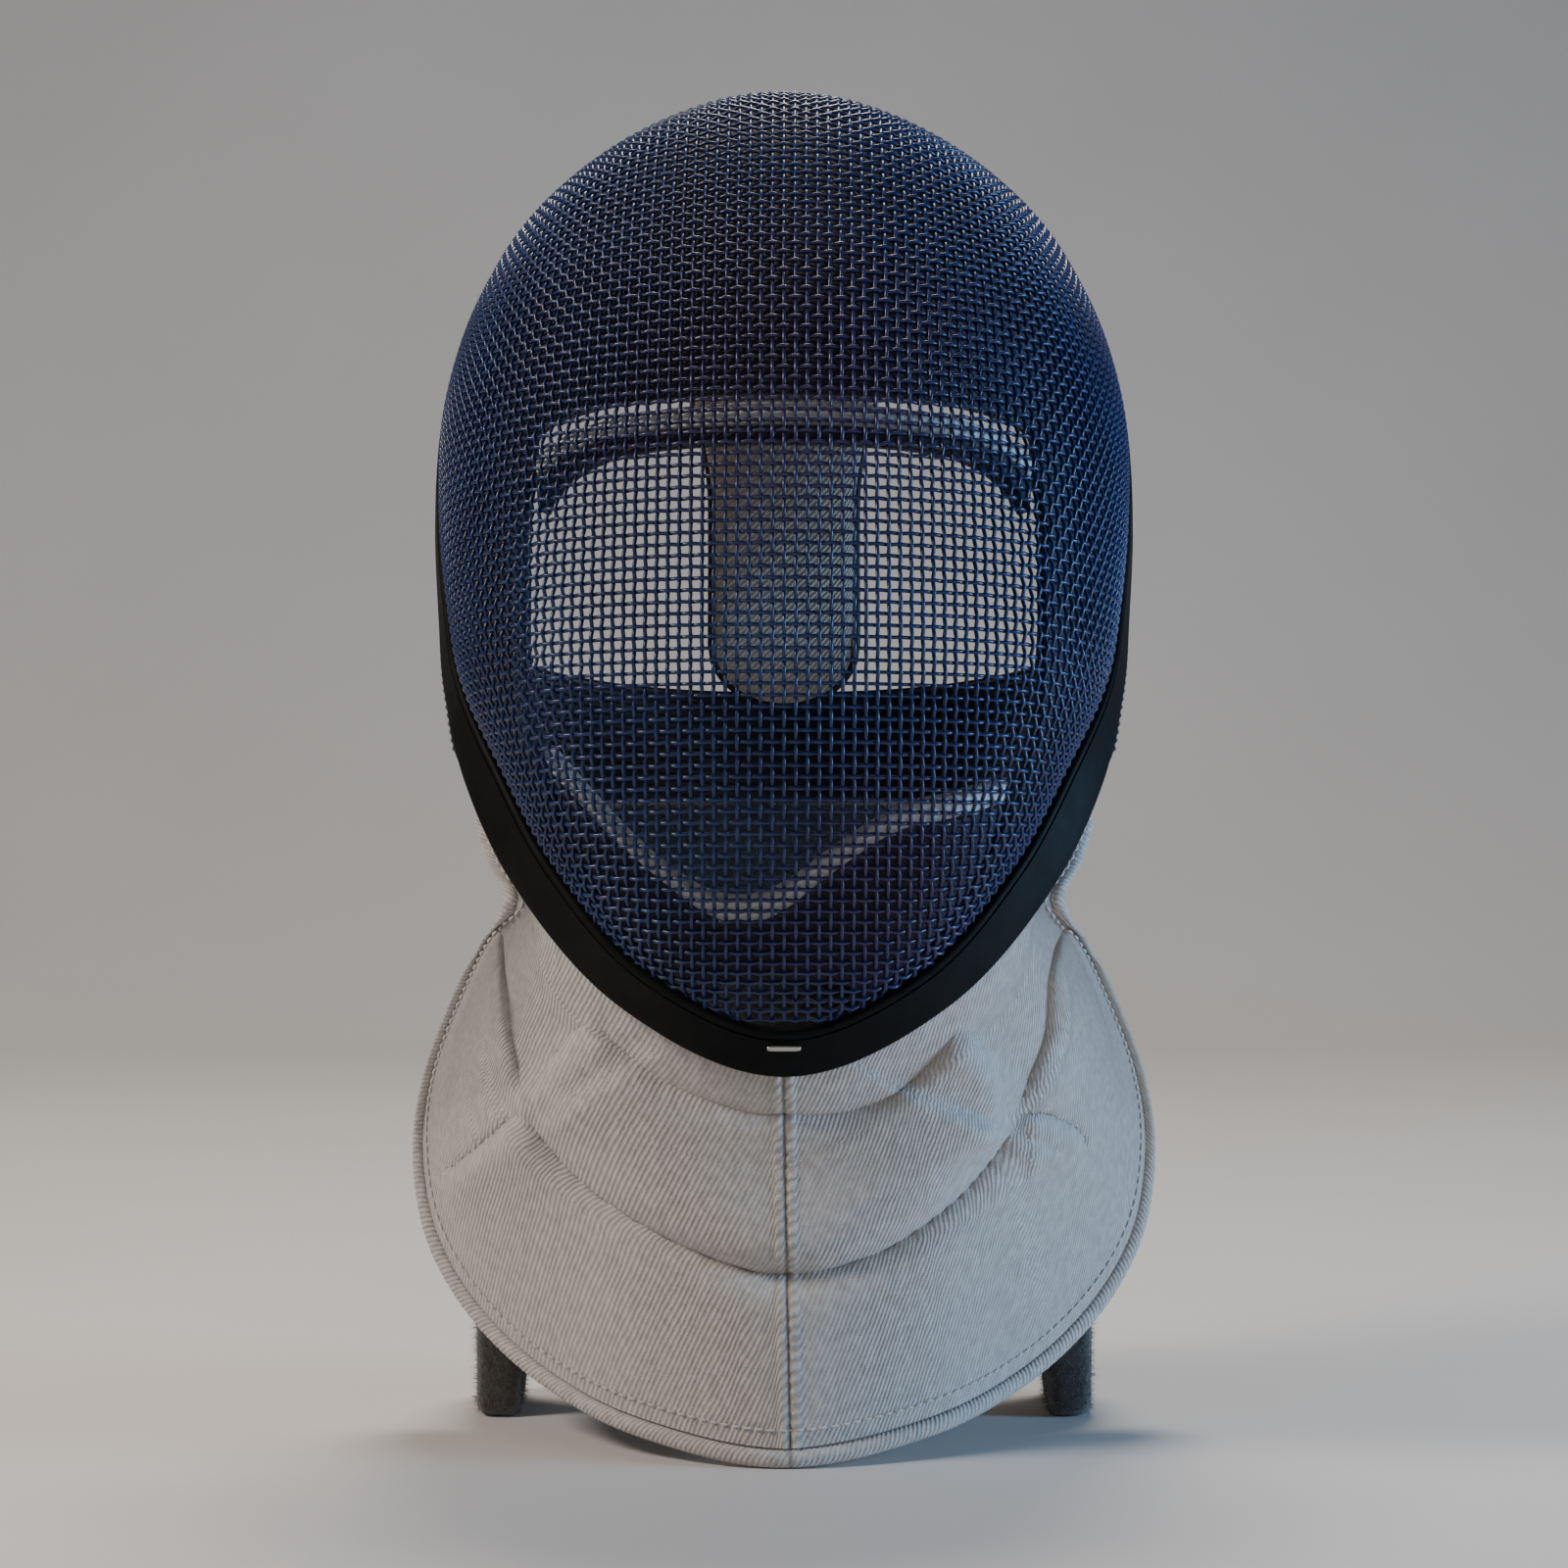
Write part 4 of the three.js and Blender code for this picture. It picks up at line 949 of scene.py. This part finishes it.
lining = {
    "innerTurn": [0.725, 0.665, 0.575, 0.535, 0.52, 0.482, 0.475, 0.36, 0.17, 0],
    "innerSection": [2.05, 3, 3.9, 4.7, 5.3, 5.85, 6.24, 6.4, 6.43, 6.43],
    "outerTurn": [0.96, 0.96, 0.96, 0.96, 0.96, 0.96, 0.95, 0.9, 0.6, 0],
    "outerSection": [0.5, 2.6, 4, 5.4, 6.8, 8.2, 9.6, 11, 12.1, 12.5],
    "last": 9, "around": 240, "across": 30, "stitchColumn": 6,
}
padStitch = {"step": 3.4, "share": 0.66, "rise": 0.4, "radius": 0.32}
padPower = 6
brow = {"from": 5.93, "to": 6.36, "turn": 0.468, "drop": 0.15, "corner": 0.5, "droop": 0.2, "lip": 0.42,
        "lipRise": 0.2}
chin = {"from": 0.6, "wide": 0.9, "narrow": 0.62, "edgeFrom": 0.025, "edgeTo": 0.27,
        "tops": [2.7, 1.89, 1.34, 1.2, 1.32, 1.69, 2.09, 2.25, 2.42]}
tape = {"thick": 6, "power": 0.45, "mapHalf": 5}


def padShare(across):
    # A pad's thickness across its width: sqrt(1 - (2 across - 1) to the sixth), over a thin edge.
    return padEdge + (1 - padEdge) * np.sqrt(np.maximum(0, 1 - (2 * across - 1) ** padPower))


def soften(points, size, amount, seed):
    # A slow swell and dip of a padded face: a sum of sine waves with fixed, scattered directions.
    waves = np.random.default_rng(seed)
    lift = np.zeros(points.shape[:-1])
    for _ in range(10):
        way = unit(waves.normal(size=3))
        lift += np.sin(points @ way * 2 * np.pi / (size * waves.uniform(0.6, 1.5)) + waves.uniform(0, 6.28))
    return lift * amount / 4


def padOnDome(name, turn, at, share, size, seed, material, node):
    # A pad between the mesh and a face at its seat plus its thickness, which swells softly.
    seat = wallHalf + padSeat
    outer = domeAt(turn, at, np.full(turn.shape, -seat))
    depth = seat + padThick * share
    swell = soften(domeAt(turn, at, -depth), size, 0.5, seed) * (share - padEdge)
    inner = domeAt(turn, at, -(depth + swell))
    piece = shell(name, outer, inner, uv=clothMap(inner))
    return finishPiece(piece, material, [node])


def closeEnds(count):
    # Shares from 0 to 1 that lie closer together at both ends: (1 - cos a) / 2.
    return (1 - np.cos(np.linspace(0, np.pi, count))) / 2


def makeLining(material):
    # The pad lies between an inner and an outer line of places on the dome, given row by row.
    last = lining["last"]
    around, across = spread(np.linspace(-last, last, lining["around"]), closeEnds(lining["across"]))
    row, side = last - np.abs(around), np.where(around < 0, -1.0, 1.0)
    innerTurn, outerTurn = (readRows(lining[key], row, 0, -1) for key in ("innerTurn", "outerTurn"))
    innerAt, outerAt = (readRows(lining[key], row, 0, 1) for key in ("innerSection", "outerSection"))
    turn, at = side * mix(innerTurn, outerTurn, across), mix(innerAt, outerAt, across)
    padOnDome("lining_padding", turn, at, padShare(across), 30, 3, material, "lining_pad")
    k = lining["stitchColumn"]
    depth = wallHalf + padSeat + padThick * padShare(across[:, k])
    line, normal = domeAt(turn[:, k], at[:, k], -depth), -domeNormal(turn[:, k], at[:, k])
    thread = feltFinish("navy_thread", (0.05, 0.05, 0.07), (0.13, 0.13, 0.17), 900.0, 0.0003)
    stitchRows("lining_stitches", [(line, normal)], padStitch, thread)


def chinTop(turn):
    # The section of the chin pad's upper edge, which dips left of the middle.
    place = (turn / chin["narrow"] + 1) * (len(chin["tops"]) - 1) / 2
    return readRows(chin["tops"], place, 0, 0)


def makeChin(material):
    # A pad from its low section up to chinTop, narrower at its top.
    share, up = spread(np.linspace(-1, 1, 120), closeEnds(36))
    turn = share * mix(chin["wide"], chin["narrow"], up)
    at = mix(chin["from"], chinTop(share * chin["narrow"]), up)
    padOnDome("chin_padding", turn, at, padShare(up), 26, 5, material, "chin_pad")


def edging(name, turn, low, high, material, node):
    # A folded tape on the inside of the mesh: a superellipse section between two curves of sections.
    angle = circle(20)
    across = (1 - squarish(np.cos(angle), tape["power"])) / 2
    depth = wallHalf + padSeat + tape["thick"] * (1 + squarish(np.sin(angle), tape["power"])) / 2
    at = mix(low[:, None], high[:, None], across[None])
    loops = domeAt(np.broadcast_to(turn[:, None], at.shape), at, -np.broadcast_to(depth, at.shape))
    uv = np.stack(spread(runLength(loops[:, 0]), angle * tape["mapHalf"]), -1) * mm
    return finishPiece(sweep(name, loops, uv=uv.reshape(-1, 2)), material, [node])


def makeEdgings(darkCloth):
    # With e = |turn| / end: the brow's low edge is from - corner e^6, its high edge is
    # to - drop e^2 - droop e^8, and a dark lip parts from the pale tape between them.
    pale = clothFinish("pale_edging", (0.7, 0.71, 0.74), (0.86, 0.87, 0.9), 0.0011, np.radians(90), 0.0003)
    turn = np.linspace(-brow["turn"], brow["turn"], 120)
    share = np.abs(turn) / brow["turn"]
    low = brow["from"] - brow["corner"] * share**6
    high = brow["to"] - brow["drop"] * share**2 - brow["droop"] * share**8
    split = mix(low, high, brow["lip"] + brow["lipRise"] * share**4)
    edging("brow_tape", turn, split, high, pale, "brow_binding")
    edging("brow_lip", turn, low, split, darkCloth, "brow_binding")
    turn = np.linspace(-chin["narrow"], chin["narrow"], 140)
    edging("chin_tape", turn, chinTop(turn) + chin["edgeFrom"], chinTop(turn) + chin["edgeTo"], pale,
           "chin_binding")


strap = {"seat": 1.2, "from": 3.25, "to": 4.9, "low": 189, "high": 233, "backY": 64, "drop": 1.4,
         "round": 0.8, "thick": 2.4, "thinEdge": 0.15, "flat": (0.31, 0.048), "area": 0.014,
         "stitchesAt": (-0.985, -0.955, 0.955, 0.985)}


def strapPoint(up, share):
    # From the trim on one side round the back of the head: an ellipse in plan that falls as it goes
    # back, z = mix(start, level, sine to the power drop).
    up, share = together(up, share)
    around = (1 - np.abs(share)) * np.pi / 2
    at = mix(strap["from"], strap["to"], up)
    start = trimPoint(at, trimFrame(at)["width"] + strap["seat"], np.zeros(at.shape))
    fall = np.sin(around) ** strap["drop"]
    reach = np.abs(np.cos(around)) ** strap["round"]
    return np.stack([np.where(share < 0, -1, 1) * start[..., 0] * reach,
                     mix(start[..., 1], strap["backY"], np.sin(around)),
                     mix(start[..., 2], mix(strap["low"], strap["high"], up), fall)], -1)


def strapNormal(up, share):
    # The strap's normal, kept a little inside its ends.
    return surfaceNormal(strapPoint, np.clip(up, 0.01, 0.99), np.clip(share, -0.99, 0.99), 0.004)


def makeStrap():
    # A wall that thins at both edges by sqrt(1 - (2 up - 1) to the eighth).
    share, up = spread(np.linspace(-1, 1, 260), np.linspace(0, 1, 24))
    half = strap["thick"] / 2 * np.sqrt(np.maximum(strap["thinEdge"], 1 - np.abs(2 * up - 1) ** 8))
    middle = strapPoint(up, share)
    outward = strapNormal(up, share) * half[..., None]
    piece = shell("elastic_strap", middle + outward, middle - outward, uv=clothMap(middle))
    material = clothFinish("navy_elastic", (0.005, 0.008, 0.018), (0.014, 0.02, 0.042), 0.0022,
                           np.radians(90), 0.0006, sheen=0.2)
    finishPiece(piece, material, ["back_strap"])
    rows = []
    for end in strap["stitchesAt"]:
        up = np.linspace(0.07, 0.93, 60)
        line, normal = strapPoint(up, end), strapNormal(up, np.full(60, end))
        normal = np.where(normal[:, :1] * end < 0, -normal, normal)
        rows.append((line + normal * strap["thick"] / 2, normal))
    stitchRows("strap_stitches", rows, padStitch, bpy.data.materials["navy_thread"])


tongue = {"seat": 1.9, "reach": 1.35, "low": 229, "endHalf": 24, "endRound": 0.8, "backY": 56.5, "bow": 9,
          "taper": 1.45, "thick": 7, "sideThin": 0.3, "topThin": 0.4, "topRun": 6, "endThin": 0.35,
          "endRun": 9, "swell": 0.06, "foldZ": 286, "foldDeep": 1.6, "foldHalf": 2.6, "foldWide": 17,
          "piping": 1.4, "facing": -0.15}


def tonguePoint(share, down):
    # From the back of the trim behind the crown down to a narrower round end, bowed backwards on the
    # way by bow sin(pi down).
    share, down = together(share, down)
    at = crown - np.abs(share) * tongue["reach"]
    start = trimPoint(at, trimFrame(at)["width"] + tongue["seat"], np.zeros(at.shape))
    rise = tongue["endHalf"] - np.sqrt(np.maximum(0, tongue["endHalf"] ** 2 * (1 - share**2) + 1))
    endZ = tongue["low"] + rise * tongue["endRound"]
    side = np.where(share < 0, -1, 1)
    half = mix(np.abs(start[..., 0]), np.abs(share) * tongue["endHalf"], smooth(down * tongue["taper"]))
    return np.stack([side * half,
                     mix(start[..., 1], tongue["backY"], down) + tongue["bow"] * np.sin(down * np.pi),
                     mix(start[..., 2], endZ, down)], -1)


def tongueNormal(share, down):
    # The tongue's normal, kept a little inside its ends.
    return surfaceNormal(tonguePoint, np.clip(share, -0.98, 0.98), np.clip(down, 0.01, 0.99), 0.01)


def makeTongue():
    # The pad's half thickness falls towards its sides, its top and its round end, and the face towards
    # the wearer has a crease: deep exp(-(z / half) squared), over its middle. Piping follows the edge.
    down, share = spread(np.linspace(0, 1, 110), np.linspace(-1, 1, 60))
    middle, normal = tonguePoint(share, down), tongueNormal(share, down)
    half = tongue["thick"] / 2 * mix(tongue["sideThin"], 1, np.sqrt(np.maximum(0, 1 - np.abs(share) ** 4)))
    half = half * mix(tongue["topThin"], 1, smooth(down * tongue["topRun"]))
    half = half * mix(tongue["endThin"], 1, np.sqrt(np.minimum(1, (1 - down) * tongue["endRun"])))
    swell = half * (1 + tongue["swell"] * soften(middle, 24, 1, 9))
    across = np.exp(-((middle[..., 0] / tongue["foldWide"]) ** 4))
    fold = tongue["foldDeep"] * across * bell(middle[..., 2] - tongue["foldZ"], tongue["foldHalf"])
    isFront = normal[..., 1] < 0
    front, back = swell - np.where(isFront, fold, 0), swell - np.where(isFront, 0, fold)
    piece = shell("tongue_padding", middle + normal * front[..., None], middle - normal * back[..., None],
                  uv=clothMap(middle))
    # Two finishes for one pad. The side towards the wearer is lighter and warmer: painted light for the light
    # that hardly reaches it inside the mask. The back is darker: painted shade against the crown light that
    # falls on it.
    inside = clothFinish("grey_pad", (0.46, 0.4, 0.33), (0.62, 0.54, 0.46), 0.0016, np.radians(45), 0.0004)
    paintedShadeBack = clothFinish("grey_pad_back_painted_shade", (0.075, 0.078, 0.09), (0.13, 0.135, 0.15), 0.0016, np.radians(45),
                          0.0005)
    finishPiece(piece, inside, ["rear_tongue"])
    piece.data.materials.append(paintedShadeBack)
    isBack = readMany(piece.data.polygons, "normal", 3)[:, 1] > tongue["facing"]
    piece.data.polygons.foreach_set("material_index", isBack.astype(np.int32))

    edge, low = np.linspace(0.04, 0.99, 90), np.linspace(-1, 1, 61)[1:-1]
    side = np.ones(len(edge))
    share = np.concatenate([-side, low, side])
    down = np.concatenate([edge, np.ones(len(low)), edge[::-1]])
    line = tonguePoint(share, down)
    across, up = axesRound(unit(np.gradient(line, axis=0)), tongueNormal(share, down))
    piping = sweep("tongue_piping", line[:, None] + tongue["piping"] * ringRound(up, across, 12))
    finishPiece(piping, bpy.data.materials["black_trim"])


felt = {"voxel": 0.0018, "rounds": 8, "lump": 0.00012, "fibres": 36000, "long": 0.0027, "rooted": 0.15,
        "thin": 0.00011, "lean": 0.54, "seed": 21}


def makeFeltStand():
    # The stand's solid is remeshed in small cubes and smoothed, which rounds its edges as felt does,
    # and then swells softly. Returns its points, their normals and its faces.
    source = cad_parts["stand"]
    copy = bpy.data.objects.new("felt_copy", source.data.copy())
    copy.matrix_world = source.matrix_world
    bpy.context.scene.collection.objects.link(copy)
    copy.modifiers.new("weld", "WELD").merge_threshold = 0.00001
    remesh = copy.modifiers.new("remesh", "REMESH")
    remesh.mode = "VOXEL"
    remesh.voxel_size = felt["voxel"]
    settle = copy.modifiers.new("smooth", "SMOOTH")
    settle.factor = 0.5
    settle.iterations = felt["rounds"]
    ready = copy.evaluated_get(bpy.context.evaluated_depsgraph_get()).to_mesh()
    points, normals = readMany(ready.vertices, "co", 3), readMany(ready.vertices, "normal", 3)
    faces = readMany(ready.loops, "vertex_index", kind=np.int32).reshape(-1, 4)
    bpy.data.objects.remove(copy)
    points = points + normals * (soften(points / mm, 12, 1, 17) * felt["lump"])[:, None]
    points[:, 2] = np.maximum(points[:, 2], 0.0001)
    material = feltFinish("grey_felt", (0.006, 0.005, 0.004), (0.055, 0.05, 0.043), 260.0, 0.002)
    piece = finishPiece(putMesh("felt_stand", points, faces), material, ["stand"])
    print("felt stand:", len(piece.data.polygons), "faces")
    return points, normals, faces


def makeFibres(points, normals, faces):
    # Fibres all over the felt: thin cones of four triangles, each along its face's normal plus a
    # scattered lean, with its foot a little way inside.
    pick = np.random.default_rng(felt["seed"])
    count = felt["fibres"]
    face = faces[pick.integers(0, len(faces), count)]
    weight = pick.dirichlet(np.ones(4), count)[..., None]
    foot, up = np.sum(points[face] * weight, 1), unit(np.sum(normals[face] * weight, 1))
    way = unit(up + pick.normal(size=foot.shape) * felt["lean"])
    side = unit(np.cross(way, pick.normal(size=foot.shape)))
    tip = foot + way * (felt["long"] * pick.uniform(0.5, 1.2, count))[:, None]
    tip[:, 2] = np.maximum(tip[:, 2], 0.0003)
    low = foot - up * felt["long"] * felt["rooted"]
    low[:, 2] = np.maximum(low[:, 2], 0.0002)
    ring = ringRound(side, np.cross(way, side), 3)
    cone = np.concatenate([low[:, None] + ring * felt["thin"], tip[:, None]], 1)
    shape = np.array([[0, 2, 1], [0, 1, 3], [1, 2, 3], [2, 0, 3]])
    if signedVolume(cone[0] - cone[0].mean(0), shape) < 0:
        shape = shape[:, ::-1]
    number = (np.arange(count) * 4)[:, None, None]
    fuzz = putMesh("felt_fibres", cone.reshape(-1, 3), (shape[None] + number).reshape(-1, 3))
    finishPiece(fuzz, feltFinish("felt_fibre", (0.03, 0.027, 0.022), (0.13, 0.12, 0.105), 300.0))


putCameraAndStage()
putLights()
print("camera, floor and lights are in")
makeMesh()
makeTrim()
makeBar()
print("trim and its bar are in")
makeBib()
padCloth = clothFinish("navy_pad", (0.02, 0.016, 0.03), (0.045, 0.038, 0.062), 0.0016, np.radians(40),
                       0.0004, sheen=0.4)
makeLining(padCloth)
makeChin(padCloth)
makeEdgings(padCloth)
makeStrap()
makeTongue()
print("linings, tongue and strap are in")
makeFibres(*makeFeltStand())
print("felt stand is in")

print("all pieces are in")
